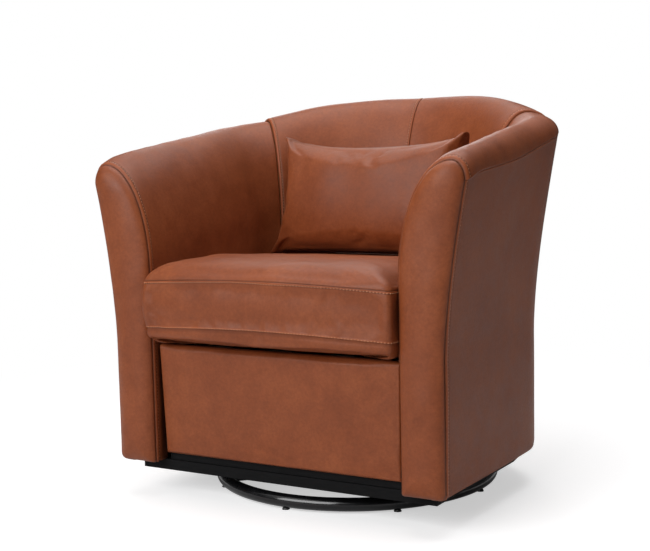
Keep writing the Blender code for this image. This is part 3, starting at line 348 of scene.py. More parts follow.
def puckers(along, distance, points, seed, height=0.0005, reach=0.012, start=0.0085):
    """Fine ribs that run out from a stitched seam, in patches."""
    fade = np.exp(-np.maximum(distance - start, 0) / reach) * (distance > start)
    patch = PATCH_MEAN + PATCH_SWING * soft_noise(points, PATCH_SIZE, seed)
    wander = PUCKER_WANDER * np.sin(along * WANDER_RATE)
    ribs = np.sin(along * 2 * math.pi / PUCKER_PITCH + wander)
    return height * fade * np.clip(patch, 0.0, PATCH_MOST) * ribs


# Pieces


def mesh_object(name, points, faces, material, tone=None):
    mesh = bpy.data.meshes.new(name)
    mesh.from_pydata([tuple(p) for p in points], [], faces)
    mesh.shade_smooth()
    if tone is not None:
        layer = mesh.attributes.new(TONE_NAME, "FLOAT", "POINT")
        layer.data.foreach_set("value", np.asarray(tone, np.float32).ravel())
    mesh.materials.append(material)
    return new_object(name, mesh)


def grid_faces(columns, rows, closed=False, flip=False):
    faces = []
    for i in range(columns if closed else columns - 1):
        k = (i + 1) % columns
        for j in range(rows - 1):
            face = (i * rows + j, k * rows + j, k * rows + j + 1, i * rows + j + 1)
            faces.append(face[::-1] if flip else face)
    return faces


def grid_object(name, points, material, closed=False, tone=None):
    faces = grid_faces(*points.shape[:2], closed)
    return mesh_object(name, points.reshape(-1, 3), faces, material, tone)


@contextmanager
def edited(item):
    """The mesh of a piece, open for changes and then written back."""
    bm = bmesh.new()
    bm.from_mesh(item.data)
    yield bm
    bm.to_mesh(item.data)
    bm.free()
    item.data.shade_smooth()


def face_towards(item, way):
    """Turn all faces of an open sheet over if they look away from a direction."""
    with edited(item) as bm:
        if sum(face.normal.dot(way) * face.calc_area() for face in bm.faces) < 0:
            bmesh.ops.reverse_faces(bm, faces=bm.faces)


def weld(item, distance=0.00001):
    with edited(item) as bm:
        bmesh.ops.remove_doubles(bm, verts=bm.verts, dist=distance)
        bmesh.ops.recalc_face_normals(bm, faces=bm.faces)


def belong(item, body, slot, *nodes):
    """Say what body a piece rides on and what CAD nodes it stands for; its slot is not used."""
    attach(item, body)
    if nodes:
        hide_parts(*nodes)


def leather_sheet(item, *nodes):
    """Give a sheet its thickness, and its place on the seat."""
    assign(item.modifiers.new("Leather", "SOLIDIFY"), thickness=LEATHER_THICKNESS, offset=-1.0)
    belong(item, "seat", "saddle_leather", *nodes)


STITCH_PITCH, STITCH_LENGTH = 0.0060, 0.0032
THREAD_RADIUS, THREAD_LIFT = 0.00072, 0.0004
THREAD_PROBE = 0.001

# Places along a stitch in half lengths, with the thread's width and lift there in radii, and
# the thread's section in radii
THREAD_STATIONS = ((-1, 0.35, -0.7), (-0.5, 1, 0.35), (0.5, 1, 0.35), (1, 0.35, -0.7))
THREAD_SECTION = ((1, 0), (0.3, 0.95), (-0.3, 0.95), (-1, 0), (0, -0.8))


def add_stitch(shape, centre, up, along, side):
    rings = []
    for t, width, lift in THREAD_STATIONS:
        base = centre + along * (STITCH_LENGTH / 2 * t) + up * (THREAD_RADIUS * lift)
        rings.append([
            shape.verts.new(base + THREAD_RADIUS * width * (side * x + up * z))
            for x, z in THREAD_SECTION
        ])
    for near, far in zip(rings, rings[1:]):
        for i in range(len(near)):
            k = (i + 1) % len(near)
            shape.faces.new((near[i], near[k], far[k], far[i]))
    shape.faces.new(rings[0][::-1])
    shape.faces.new(rings[-1])


def stitches(name, lines, body):
    """Rows of thread laid along lines of (points, outward normals)."""
    item = mesh_object(name, [], [], THREAD)
    with edited(item) as shape:
        for points, normals in lines:
            run = running(points)
            count = int(run[-1] / STITCH_PITCH)
            centres = (np.arange(count) + 0.5) * run[-1] / count
            places, ahead, behind = [
                read_at(points, run, centres + shift)
                for shift in (0.0, THREAD_PROBE, -THREAD_PROBE)
            ]
            up = unit(read_at(normals, run, centres))
            along = unit(ahead - behind)
            for stitch in zip(places, up, along, unit(np.cross(up, along))):
                add_stitch(shape, *stitch)
    belong(item, body, "saddle_leather")


# Simulation of filled covers

CLOTH_FRAMES = 20
CLOTH_SETTINGS = {
    "quality": 6, "mass": 0.4, "tension_stiffness": 25, "compression_stiffness": 25,
    "shear_stiffness": 10, "bending_stiffness": 0.6, "air_damping": 4, "use_pressure": True,
}


def tap_matrix(source, target):
    """Weights of a smooth curve through values at rising source places, read at targets."""
    last = len(source) - 1
    low = np.clip(np.searchsorted(source, target, side="right") - 1, 0, last - 1)
    t = np.clip((target - source[low]) / (source[low + 1] - source[low]), 0, 1)
    taps = (
        -0.5 * t + t**2 - 0.5 * t**3,
        1 - 2.5 * t**2 + 1.5 * t**3,
        0.5 * t + 2 * t**2 - 1.5 * t**3,
        -0.5 * t**2 + 0.5 * t**3,
    )
    matrix = np.zeros((len(target), len(source)))
    rows = np.arange(len(target))
    for shift, weight in zip((-1, 0, 1, 2), taps):
        np.add.at(matrix, (rows, np.clip(low + shift, 0, last)), weight)
    return matrix


def settled_cloth(points, faces, held, pressure, growth, limit):
    """How far each point moves when cloth over them is blown up, found by simulation."""
    item = mesh_object("settling_cloth", points, faces, LEATHER)
    group = item.vertex_groups.new(name="held")
    for index, weight in enumerate(held):
        if weight > 0:
            group.add([index], float(weight), "REPLACE")
    cloth = item.modifiers.new("Cloth", "CLOTH")
    assign(cloth.point_cache, frame_start=1, frame_end=CLOTH_FRAMES)
    assign(cloth.settings, uniform_pressure_force=pressure, shrink_min=-growth,
           vertex_group_mass=group.name, **CLOTH_SETTINGS)
    cloth.settings.effector_weights.gravity = 0
    scene = bpy.context.scene
    for number in range(1, CLOTH_FRAMES + 1):
        scene.frame_set(number)
    found = item.evaluated_get(bpy.context.evaluated_depsgraph_get()).to_mesh()
    places = np.empty(len(found.vertices) * 3)
    found.vertices.foreach_get("co", places)
    move = places.reshape(-1, 3) - points
    bpy.data.objects.remove(item)
    scene.frame_set(1)
    size = np.linalg.norm(move, axis=1, keepdims=True)
    return move * np.minimum(1.0, limit / np.maximum(size, 1e-9))


# Materials


class Nodes:
    """Short calls for building the shader of a material or of the world."""

    def __init__(self, owner):
        owner.use_nodes = True
        self.owner = owner
        self.tree = owner.node_tree
        self.shader = self.tree.nodes.get("Principled BSDF")
        self.places = self.node("ShaderNodeTexCoord").outputs
        self.where = self.places["Object"]

    def node(self, kind, inputs=None, **settings):
        node = assign(self.tree.nodes.new(kind), **settings)
        for key, value in (inputs or {}).items():
            self.put(node.inputs[key], value)
        return node

    def put(self, socket, value):
        if isinstance(value, bpy.types.NodeSocket):
            self.tree.links.new(value, socket)
        else:
            socket.default_value = value

    def set(self, **values):
        for key, value in values.items():
            self.put(self.shader.inputs[key.replace("_", " ")], value)

    def noise(self, scale, detail=4.0, roughness=0.5, where=None):
        inputs = {"Vector": where or self.where, "Scale": scale, "Detail": detail,
                  "Roughness": roughness}
        return self.node("ShaderNodeTexNoise", inputs).outputs["Fac"]

    def ramp(self, value, stops):
        node = self.node("ShaderNodeValToRGB", {"Fac": value})
        ramp = node.color_ramp
        while len(ramp.elements) < len(stops):
            ramp.elements.new(0.5)
        for element, (place, colour) in zip(ramp.elements, stops):
            element.position = place
            element.color = colour
        return node.outputs["Color"]

    def map(self, value, low, high, to_low, to_high, kind="LINEAR"):
        inputs = {0: value, 1: low, 2: high, 3: to_low, 4: to_high}
        return self.node("ShaderNodeMapRange", inputs, interpolation_type=kind).outputs[0]

    def math(self, operation, a, b=0.0):
        return self.node("ShaderNodeMath", {0: a, 1: b}, operation=operation).outputs[0]

    def total(self, *parts):
        """Sum of values, each with its share."""
        shares = [self.math("MULTIPLY", value, share) for value, share in parts]
        result = shares[0]
        for share in shares[1:]:
            result = self.math("ADD", result, share)
        return result

    def mix(self, factor, a, b, kind="MIX"):
        inputs = {"Factor_Float": factor, "A_Color": a, "B_Color": b}
        node = self.node("ShaderNodeMix", data_type="RGBA", blend_type=kind)
        for socket in node.inputs:
            if socket.identifier in inputs:
                self.put(socket, inputs[socket.identifier])
        return node.outputs[2]

    def bump(self, height, strength, distance, before=None):
        inputs = {"Height": height, "Strength": strength, "Distance": distance}
        if before is not None:
            inputs["Normal"] = before
        return self.node("ShaderNodeBump", inputs).outputs["Normal"]

    def glow(self, kind, strength):
        """White light of a given strength, from an emission or a background node."""
        return self.node(kind, {"Color": WHITE, "Strength": strength}).outputs[0]

    def join(self, factor, first, second):
        inputs = {0: factor, 1: first, 2: second}
        return self.node("ShaderNodeMixShader", inputs).outputs[0]

    def show(self, result, output):
        self.put(self.tree.nodes[output].inputs["Surface"], result)


def rgb(red, green, blue):
    """Linear colour of an sRGB colour given in 0 to 255."""
    return tuple(
        (c / 255 / 12.92) if c / 255 <= 0.04045 else ((c / 255 + 0.055) / 1.055) ** 2.4
        for c in (red, green, blue)
    ) + (1.0,)


BLACK, WHITE = (0.0, 0.0, 0.0, 1.0), (1.0, 1.0, 1.0, 1.0)
DARKEST_SEAM, ROUGHNESS_SWING = 0.2, 0.06


def leather(name, dark, middle, light):
    """Aniline leather: soft clouds, fine mottling, pores, and painted shade and painted highlights
    beside seams.
    """
    n = Nodes(bpy.data.materials.new(name))
    clouds = n.noise(scale=7.0, detail=3.0, roughness=0.55)
    blotches = n.noise(scale=34.0, detail=4.0, roughness=0.6)
    flecks = n.noise(scale=170.0, detail=3.0, roughness=0.7)
    blend = n.total((clouds, 0.36), (blotches, 0.28), (flecks, 0.36))
    colour = n.ramp(blend, ((0.36, dark), (0.5, middle), (0.64, light)))
    inputs = {"Vector": n.where, "Scale": 620.0}
    cells = n.node("ShaderNodeTexVoronoi", inputs, feature="DISTANCE_TO_EDGE").outputs["Distance"]
    pores = n.ramp(cells, ((0.0, BLACK), (0.16, WHITE)))
    colour = n.mix(0.16, colour, n.mix(1.0, colour, pores, "MULTIPLY"))
    # Painted shade and painted highlight beside seams and edges, read from the tone attribute
    seam = n.node("ShaderNodeAttribute", attribute_name=TONE_NAME).outputs["Fac"]
    tone = n.math("MAXIMUM", n.math("ADD", seam, 1.0), DARKEST_SEAM)
    grain = n.bump(n.noise(scale=60.0, detail=5.0, roughness=0.65), strength=0.10, distance=0.002)
    n.set(Base_Color=n.mix(1.0, colour, tone, "MULTIPLY"),
          Normal=n.bump(pores, strength=0.22, distance=0.0003, before=grain),
          Roughness=n.map(blotches, 0.3, 0.7, 0.40, 0.50), Specular_IOR_Level=0.31,
          Sheen_Weight=0.02, Sheen_Roughness=0.4, Sheen_Tint=(1.0, 0.85, 0.78, 1.0))
    return n.owner


def plain_noise(name, low, high, scale, rough, metallic=0.0, bump=0.1, distance=0.0005,
                stretch=(1.0, 1.0, 1.0), coat=0.0, shine=0.5):
    """One finish between two colours, uneven by a single noise."""
    n = Nodes(bpy.data.materials.new(name))
    where = n.node("ShaderNodeMapping", {"Vector": n.where, "Scale": stretch}).outputs[0]
    value = n.noise(scale, detail=5.0, roughness=0.6, where=where)
    ends = rough - ROUGHNESS_SWING, rough + ROUGHNESS_SWING
    n.set(Base_Color=n.ramp(value, ((0.3, low), (0.7, high))), Metallic=metallic,
          Roughness=n.map(value, 0.3, 0.7, *ends), Normal=n.bump(value, bump, distance),
          Coat_Weight=coat, Coat_Roughness=0.08, Specular_IOR_Level=shine)
    return n.owner


def woven(name, low, high, pitch):
    """Plain weave from two crossed waves."""
    n = Nodes(bpy.data.materials.new(name))
    inputs = {"Vector": n.where, "Scale": 1 / pitch / 6.283, "Distortion": 0.4, "Detail": 1.0}
    weave = n.math("MULTIPLY", *[
        n.node("ShaderNodeTexWave", inputs, bands_direction=direction).outputs["Fac"]
        for direction in ("X", "Y")
    ])
    tone = n.total((weave, 0.6), (n.noise(scale=30.0), 0.4))
    n.set(Base_Color=n.ramp(tone, ((0.1, low), (0.7, high))), Roughness=0.9,
          Normal=n.bump(weave, strength=0.5, distance=0.0005))
    return n.owner


GRAIN_OF_WOOD = {"scale": 14.0, "stretch": (9.0, 9.0, 1.0), "bump": 0.3}
LEATHER = leather("saddle_leather", rgb(121, 59, 29), rgb(134, 68, 35), rgb(147, 78, 42))
THREAD = plain_noise("thread", rgb(186, 122, 84), rgb(222, 162, 122), 900.0, 0.6, bump=0.3)
BOARD = plain_noise("black_board", rgb(8, 8, 9), rgb(19, 19, 20), 30.0, 0.6,
                    stretch=(1.0, 12.0, 12.0), bump=0.15, shine=0.12)
TUBE = plain_noise("black_tube", rgb(12, 12, 13), rgb(22, 22, 24), 40.0, 0.24,
                   metallic=0.2, bump=0.03, coat=0.6)
NYLON = plain_noise("black_nylon", rgb(24, 24, 24), rgb(42, 42, 42), 400.0, 0.5)
STEEL = plain_noise("zinc_steel", (0.42, 0.42, 0.44, 1), (0.66, 0.66, 0.68, 1), 60.0, 0.34,
                    metallic=1.0)
WOOD = plain_noise("frame_wood", rgb(170, 132, 88), rgb(205, 168, 118), rough=0.7,
                   **GRAIN_OF_WOOD)
# Dark wood finish that stands in for painted shade in the gaps beside the apron
SHADE_DARK_WOOD = plain_noise("shade_dark_wood", rgb(34, 19, 13), rgb(52, 30, 20), rough=0.8,
                           **GRAIN_OF_WOOD)
FOAM = plain_noise("foam", rgb(214, 200, 150), rgb(236, 226, 186), 260.0, 0.93, bump=0.6,
                   distance=0.001)
BY_SLOT = {
    "saddle_leather": LEATHER, "foam": FOAM, "frame_wood": WOOD, "black_board": BOARD,
    "black_tube": TUBE, "zinc_steel": STEEL, "black_nylon": NYLON,
    "webbing": woven("webbing", rgb(44, 38, 32), rgb(96, 84, 70), 0.003),
    "deck_cloth": woven("deck_cloth", rgb(52, 28, 20), rgb(92, 54, 38), 0.0012),
    "zip_tape": woven("zip_tape", rgb(40, 22, 15), rgb(74, 44, 31), 0.0011),
}

# Wood that can be seen past the apron's edges, painted dark as the shade in those gaps
SHOWN_WOOD = ("front_rail", "corner_block_left", "corner_block_right")


def dress_cad():
    """Procedural finishes on the CAD nodes that stay."""
    for row in frame["record"]["subparts"]:
        shown = row["node"] in SHOWN_WOOD
        materials = NODES[row["node"]].data.materials
        materials.clear()
        materials.append(SHADE_DARK_WOOD if shown else BY_SLOT[row["material_slot"]])


dress_cad()

# Leather on the tub

SEAM_LINES = []
COLUMN_STEP, ROW_STEP = 0.009, 0.010
SITTER = np.array([0.0, -0.02, 1.0])

PUFF_START, ROLL_PUFF_FALL = 0.006, 0.20
BACK_DRAW, BACK_DRAW_REACH = 0.0022, 0.02

# Strip beside each kind of seam, and how narrow it is
FRONT_SEAM = {"deep": FRONT_GROOVE}
ROLL_SEAM = {"strip": 0.4, "narrow": ROLL_NARROW}
ROLL_SHARE, ROLL_TONE_SHARE, PUCKER_SHARE = 0.5, 0.6, 0.7
LIP = 0.6


def tub_panel(first_share, last_share, line_of, mirrored):
    """Points of a panel over shares of the wall, its first row along the roll's seam, and
    each point's distance from the roll's seam and from the panel's two upright edges."""
    length = (last_share - first_share) * PATH_TOTAL
    from_first = spaced(length, COLUMN_STEP)
    shares = first_share + from_first / PATH_TOTAL
    lines = [line_of(float(share)) for share in shares]
    longest = max(line_length(line) for line in lines)
    count = int(round((longest - SEAM_STEPS[-1]) / ROW_STEP))
    grid, from_roll = [], []
    for share, line in zip(shares, lines):
        total = line_length(line)
        rest = (total - SEAM_STEPS[-1]) * np.arange(1, count + 1) / count
        distances = np.minimum(np.r_[SEAM_STEPS, SEAM_STEPS[-1] + rest], total)
        section = resample(line, distances)
        grid.append(wall(np.full(len(section), share), section[:, 0], section[:, 1]))
        from_roll.append(distances)
    points, from_roll = np.array(grid), np.array(from_roll)
    if mirrored:
        points[..., 0] *= -1
    flat = 0 * from_roll
    return points, from_roll, from_first[:, None] + flat, (length - from_first)[:, None] + flat


def finish_panel(name, node, points, moves, tone, inside, stitched=(STITCH_STEP,)):
    """Lift a panel's points along their normals, make its leather, and sew its columns."""
    normals = grid_normals(points)
    outward = SITTER - points
    if not inside:
        outward = -outward * [1, 1, 0]
    turned = (normals * outward).sum() < 0
    if turned:
        normals = -normals
    moved = points + normals * moves[..., None]
    item = grid_object(name, moved, LEATHER, tone=tone)
    if turned:
        with edited(item) as bm:
            bmesh.ops.reverse_faces(bm, faces=bm.faces)
    leather_sheet(item, node)
    for step in stitched:
        line, up = moved[step, 2:-1], normals[step, 2:-1]
        SEAM_LINES.append((line + up * THREAD_LIFT, up))


def lining(share):
    return lining_line(share, SEAT_LEVEL - LINING_UNDER)


def puff(distance, height, reach):
    """Fullness that rises fast beside a seam, and fades slowly away from it."""
    return height * (1 - np.exp(-distance / PUFF_START)) * np.exp(-distance / reach)


def build_arm_inside(side, mirrored):
    points, roll, front, back = tub_panel(0.0, SEAM_SHARE, lining, mirrored)
    moves = seam_relief(front, **FRONT_SEAM) - edge_turn(front)
    moves += 0.9 * seam_relief(back, strip=0.0)
    moves += ROLL_SHARE * seam_relief(roll, **ROLL_SEAM)
    moves += puff(front, height=0.008, reach=0.05) * np.exp(-roll / ROLL_PUFF_FALL)
    moves += waves(points, (0.0008, 0.24, 3), (0.0003, 0.06, 4))
    moves += PUCKER_SHARE * puckers(roll, front, points, seed=5)
    moves -= BACK_DRAW * np.exp(-back / BACK_DRAW_REACH)
    tone = seam_tone(front) + seam_tone(back, strip=0.0)
    tone += ROLL_TONE_SHARE * seam_tone(roll, **ROLL_SEAM)
    finish_panel(f"leather_arm_inside_{side}", f"arm_cover_{side}", points, moves, tone, True)


def build_back_inside(side, mirrored):
    points, roll, first, middle = tub_panel(SEAM_SHARE, 1.0, lining, mirrored)
    lip = 0.0 if side == "left" else LIP
    moves = seam_relief(first) + seam_relief(middle, lip, MIDDLE_NARROW)
    moves += ROLL_SHARE * seam_relief(roll, **ROLL_SEAM)
    moves += puff(first, height=0.0045, reach=0.30)
    moves += waves(points, (0.0010, 0.2, 7), (0.0003, 0.07, 8))
    moves += PUCKER_SHARE * puckers(roll, first, points, seed=9)
    tone = seam_tone(first) + seam_tone(middle, lip, MIDDLE_NARROW)
    tone += ROLL_TONE_SHARE * seam_tone(roll, **ROLL_SEAM)
    stitched = (STITCH_STEP, -1 - MIDDLE_STITCH_STEP) if lip else (STITCH_STEP,)
    finish_panel(f"leather_back_inside_{side}", f"back_cover_{side}", points, moves, tone, True,
                 stitched)


def build_arm_outside(side, mirrored):
    points, roll, front, back = tub_panel(0.0, SEAM_SHARE, outside_line, mirrored)
    moves = seam_relief(front, **FRONT_SEAM) - edge_turn(front)
    moves += 0.8 * seam_relief(back, strip=0.4)
    moves += 0.6 * seam_relief(roll, strip=0.6, narrow=ROLL_NARROW)
    moves += waves(points, (0.0006, 0.3, 11)) + 0.5 * puckers(roll, front, points, seed=12)
    tone = seam_tone(front, strip=2.2, dip_shade=0.25) + seam_tone(back, strip=0.5)
    tone += seam_tone(roll, strip=0.8, narrow=ROLL_NARROW)
    finish_panel(f"leather_arm_outside_{side}", f"outside_arm_cover_{side}", points, moves, tone,
                 False)


def build_back_outside():
    points, roll, first, last = tub_panel(SEAM_SHARE, 2 - SEAM_SHARE, outside_line, False)
    moves = 0.8 * (seam_relief(first) + seam_relief(last)) + 0.7 * seam_relief(roll, strip=0.5)
    moves += waves(points, (0.0007, 0.28, 13))
    tone = seam_tone(first) + seam_tone(last) + seam_tone(roll, strip=0.8)
    finish_panel("leather_back_outside", "outside_back_cover", points, moves, tone, False,
                 (STITCH_STEP, -1 - STITCH_STEP))


for side, mirrored in (("left", False), ("right", True)):
    build_arm_inside(side, mirrored)
    build_back_inside(side, mirrored)
    build_arm_outside(side, mirrored)
build_back_outside()

# Padded fronts of the arms, and the leather beside them under the seat

PANEL_BULGE, PANEL_CAP_DROP, PANEL_SEAM_DROP = 0.020, 0.050, 0.0004
PANEL_INWARD = np.array([0.0, 0.014, 0.028, 0.048, 0.072, 0.096, 0.13, 0.18, 0.25, 0.34, 0.44,
                         0.56, 0.7, 0.85, 1.0])
HEEL_TURN, HEEL_ROOM = 0.0012, 0.004
PANEL_CALM, PANEL_REACH, PANEL_SEAM_TONE = 0.2, 0.05, -0.5
RETURN_DEPTH, RETURN_SHADE = 0.036, 0.75
RETURN_PLAIN, RETURN_FOOT, RETURN_HEAD, RETURN_ROWS = 0.018, 0.002, 0.004, 40
SHADE_START, SHADE_RUN = 0.011, 0.010

# Points on the outline of an arm's front
SIDE_POINTS, ARCH_POINTS, BESIDE_POINTS, FOOT_POINTS, UNDER_POINTS = 74, 44, 8, 6, 10


def front_outline():
    """Outline of an arm's front in depth and height, round the way from its inner foot."""
    foot = TUB_BOTTOM + WALL_FOOT / 2
    cap = TOP_HEIGHTS[0] - PANEL_CAP_DROP
    levels = np.linspace(foot, cap, SIDE_POINTS)
    inner_up = np.c_[inner_depth(0.0, levels), levels]
    over = lining_line(0.0, foot)[::-1]
    over = over[over[:, 1] >= cap]
    beside = np.linspace(float(roll_height(0.0)), cap, BESIDE_POINTS)[1:]
    arch = np.r_[inner_up[-1:], over, np.c_[outer_depth(0.0, beside), beside]]
    arch = resample(arch, np.linspace(0, line_length(arch), ARCH_POINTS))[1:-1]
    outer_down = np.c_[outer_depth(0.0, levels[::-1]), levels[::-1]]
    side_down = np.linspace((0.0, foot), (0.0, TUB_BOTTOM + TUCK_RADIUS), FOOT_POINTS)[1:]
    inward, above = quarter(TUCK_RADIUS)
    bend = np.c_[inward, TUB_BOTTOM + above][1:]
    under = np.linspace(bend[-1], (WALL_FOOT - HEEL_ROOM, TUB_BOTTOM), UNDER_POINTS)[1:]
    heel = [(WALL_FOOT - HEEL_TURN, TUB_BOTTOM + HEEL_TURN)]
    side_up = np.linspace((WALL_FOOT, TUB_BOTTOM + HEEL_ROOM), (WALL_FOOT, foot), FOOT_POINTS)
    outline = np.r_[inner_up, arch, outer_down, side_down, bend, under, heel, side_up[:-1]]
    level = np.clip(outline[:, 1], foot, cap)
    medial = np.c_[(inner_depth(0.0, level) + outer_depth(0.0, level)) / 2, level]
    return outline, medial


def build_front_panel(side, sign):
    """Padded panel on the front of one arm."""
    outline, medial = front_outline()
    outline = outline + unit(medial - outline) * FRONT_TURN
    flat = outline[:, None] + (medial - outline)[:, None] * PANEL_INWARD[:, None]
    y = PANEL_SEAM_DROP - ARM_FRONT - PANEL_BULGE * np.sqrt(1 - (1 - PANEL_INWARD) ** 2)
    points = np.stack([sign * (HALF_WIDTH - flat[..., 0]), y + 0 * flat[..., 0], flat[..., 1]], -1)
    moves = waves(points, (0.0006, 0.12, 21 + sign), (0.0003, 0.04, 23))
    points[..., 1] -= moves * np.clip(PANEL_INWARD / PANEL_CALM, 0, 1)
    # Painted shade along the panel's seam at its rim
    tone = PANEL_SEAM_TONE * peak(PANEL_INWARD * PANEL_REACH, place=0, width=0.0007)
    tone = tone + 0 * points[..., 0]
    item = grid_object(f"leather_arm_front_{side}", points, LEATHER, closed=True, tone=tone)
    weld(item, distance=0.00005)
    face_towards(item, Vector((0, -1, 0)))
    leather_sheet(item, f"arm_front_panel_{side}")


def build_arm_return(side, sign):
    """Leather that runs in beside the panel under the seat, on the arm."""
    deep = np.r_[NEAR_STEPS, np.linspace(RETURN_PLAIN, RETURN_DEPTH, 8)]
    zs = np.linspace(TUB_BOTTOM + RETURN_FOOT, SEAT_LEVEL + RETURN_HEAD, RETURN_ROWS)
    inset = seam_relief(deep, **FRONT_SEAM) - edge_turn(deep)
    points = np.array([
        [(sign * (HALF_WIDTH - WALL_FOOT - g), d - ARM_FRONT, z) for z in zs]
        for d, g in zip(deep, inset)
    ])
    tone = seam_tone(deep) - RETURN_SHADE * np.clip((deep - SHADE_START) / SHADE_RUN, 0, 1)
    tone = tone[:, None] + 0 * points[..., 0]
    SEAM_LINES.append((points[STITCH_STEP], np.tile([-sign, 0.0, 0.0], (len(zs), 1))))
    item = grid_object(f"leather_arm_return_{side}", points, LEATHER, tone=tone)
    face_towards(item, Vector((-sign, 0, 0)))
    leather_sheet(item)


for side, sign in (("left", 1), ("right", -1)):
    build_front_panel(side, sign)
    build_arm_return(side, sign)

# Apron under the seat

APRON_FRONT, APRON_HALF, APRON_BOTTOM, APRON_TOP = 0.294, 0.2515, 0.0845, 0.2943
APRON_SIDE_RADIUS, APRON_TOP_RADIUS, APRON_WRAP, APRON_FOLD = 0.007, 0.011, 0.032, 0.020
APRON_TOP_SPREAD, APRON_TOP_FORWARD, APRON_BOW = 0.018, 0.007, 0.0032

# Points on its flat part, and how far they stay from its edges
APRON_COLUMNS, APRON_ROWS = 56, 34
APRON_SIDE_ROOM, APRON_FOOT_ROOM, APRON_HEAD_ROOM = 0.012, 0.016, 0.022


def build_apron():
    """Panel under the seat, padded and turned at all four edges."""
    near, far = quarter(APRON_SIDE_RADIUS)
    near_top, far_top = quarter(APRON_TOP_RADIUS)
    edge = np.r_[[(APRON_HALF, APRON_WRAP)], np.c_[APRON_HALF - near, far]]
    reach = edge[-1, 0] - APRON_SIDE_ROOM
    middle = np.linspace(-reach, reach, APRON_COLUMNS)
    across = np.r_[-edge[:, 0], middle, edge[::-1, 0]]
    back = np.r_[edge[:, 1], 0 * middle, edge[::-1, 1]]
    foot = np.c_[APRON_BOTTOM + near, far]
    over = np.c_[APRON_TOP - near_top, far_top][::-1]
    heights = np.linspace(APRON_BOTTOM + APRON_FOOT_ROOM, APRON_TOP - APRON_HEAD_ROOM, APRON_ROWS)
    rows = np.r_[[(APRON_BOTTOM, APRON_FOLD)], foot, np.c_[heights, 0 * heights], over,
                 [(APRON_TOP, APRON_FOLD)]]
    points = np.zeros((len(across), len(rows), 3))
    deep = np.maximum(back[:, None], rows[:, 1][None, :])
    bow = APRON_BOW * (1 - (across / APRON_HALF) ** 2)[:, None] * (rows[:, 1] < 0.001)[None, :]
    points[..., 0] = across[:, None]
    points[..., 1] = deep - APRON_FRONT - bow
    points[..., 2] = rows[:, 0][None, :]
    points[..., 1] -= (deep < 0.0005) * waves(points, (0.0009, 0.16, 31), (0.0004, 0.05, 32))
    height = (points[..., 2] - APRON_BOTTOM) / (APRON_TOP - APRON_BOTTOM)
    points[..., 0] *= 1 + APRON_TOP_SPREAD * height
    points[..., 1] -= APRON_TOP_FORWARD * height
    item = grid_object("leather_apron", points, LEATHER)
    face_towards(item, Vector((0, -1, 0)))
    leather_sheet(item, "apron_cover")


build_apron()
stitches("thread_tub", SEAM_LINES, "seat")

# Seat cushion

CUSHION_INSET, CUSHION_REACH, CUSHION_BOW, CUSHION_CORNER = 0.0845, 0.3535, 0.017, 0.022
CUSHION_SPREAD, CUSHION_SPREAD_RUN, CUSHION_SPREAD_START = 0.004, 0.012, 0.010
LOWER_SEAM, UPPER_SEAM, SEAM_RISE, CROWN = 0.330, 0.4185, 0.0095, 0.460
BACK_DIP, DIP_POWER, HEART = 0.034, 1.2, -0.190
SIDE_BULGE, SIDE_LEAN, TOP_SAG = 0.0055, 0.0025, 0.0005
BOTTOM_LIFT, CORNER_LIFT, UNDER_INSET = 0.009, 0.003, 0.030
CURL_POWER, UNDER_POWER, TOP_POWER, TOP_SQUARE = 0.667, 8, 8, 0.68
CUSHION_HALF = HALF_WIDTH - CUSHION_INSET
CUSHION_BASE = SEAT_LEVEL + 0.0006
BAND_HEIGHT, TOP_RUN = UPPER_SEAM - LOWER_SEAM, 0.29
CUSHION_COLUMNS, COARSE_CUSHION_COLUMNS = 420, 190
CUSHION_FRONT_POINTS, CUSHION_CORNER_POINTS, CUSHION_WALL_POINTS = 60, 30, 400

# Rows under the cushion, round its lower edge, up its side and over its top
FINE_ROWS, COARSE_ROWS = (16, 14, 15, 38), (6, 6, 13, 30)
CUSHION_PRESSURE, CUSHION_GROWTH, CUSHION_LIMIT = 5.0, 0.003, 0.007

PUCKER_START, TOP_PUCKER_STRETCH = 0.004, 0.7
CUSHION_DRAW, TIGHT_EDGE, TIGHT_SHARE, CALM_HEIGHT = 0.0006, 0.004, 0.2, 0.02


def cushion_outline(count):
    """Plan of the cushion, counter-clockwise from the middle of its front."""
    x = np.linspace(0.0, CUSHION_HALF - CUSHION_CORNER, CUSHION_FRONT_POINTS)
    front = np.c_[x, CUSHION_BOW * (x / CUSHION_HALF) ** 3 - CUSHION_REACH]
    turn = np.linspace(0.0, math.pi / 2, CUSHION_CORNER_POINTS)[1:]
    y = front[-1, 1] + CUSHION_CORNER
    corner = np.c_[x[-1] + CUSHION_CORNER * np.sin(turn), y - CUSHION_CORNER * np.cos(turn)]
    shares = np.linspace((ARM_FRONT + y) / PATH_TOTAL, 1.0, CUSHION_WALL_POINTS)[1:]
    half = np.r_[front, corner, wall(shares, CUSHION_INSET, 0.0)[:, :2]]
    whole = np.r_[half, half[-2:0:-1] * [-1, 1], half[:1]]
    return resample(whole, np.linspace(0, line_length(whole), count + 1)[:-1])


def cushion_rows(fine):
    """Places of the rows from the middle of the underside, at 0, over the lower seam, at 2,
    and the upper seam, at 3, to the middle of the top, at 4."""
    under, curl, band, top = FINE_ROWS if fine else COARSE_ROWS
    under, curl = np.linspace(0.02, 1.0, under), np.linspace(1.0, 2.0, curl)[1:-1]
    if fine:
        near = NEAR_STEPS * NARROW / BAND_HEIGHT
        band = np.r_[near, np.linspace(0.14, 0.86, band), 1 - near[::-1]]
        top = np.r_[SEAM_STEPS[1:-2] * NARROW / TOP_RUN, np.linspace(0.05, 0.995, top)]
    else:
        band, top = np.linspace(0.0, 1.0, band), np.linspace(0.0, 0.985, top)[1:]
    return np.r_[under, curl, 2 + band, 3 + top]


def back_dip(y):
    """How much lower the cushion's top is towards its back."""
    reach = BACK_REACH - CUSHION_INSET - HEART
    return BACK_DIP * np.clip((y - HEART) / reach, 0, 1) ** DIP_POWER


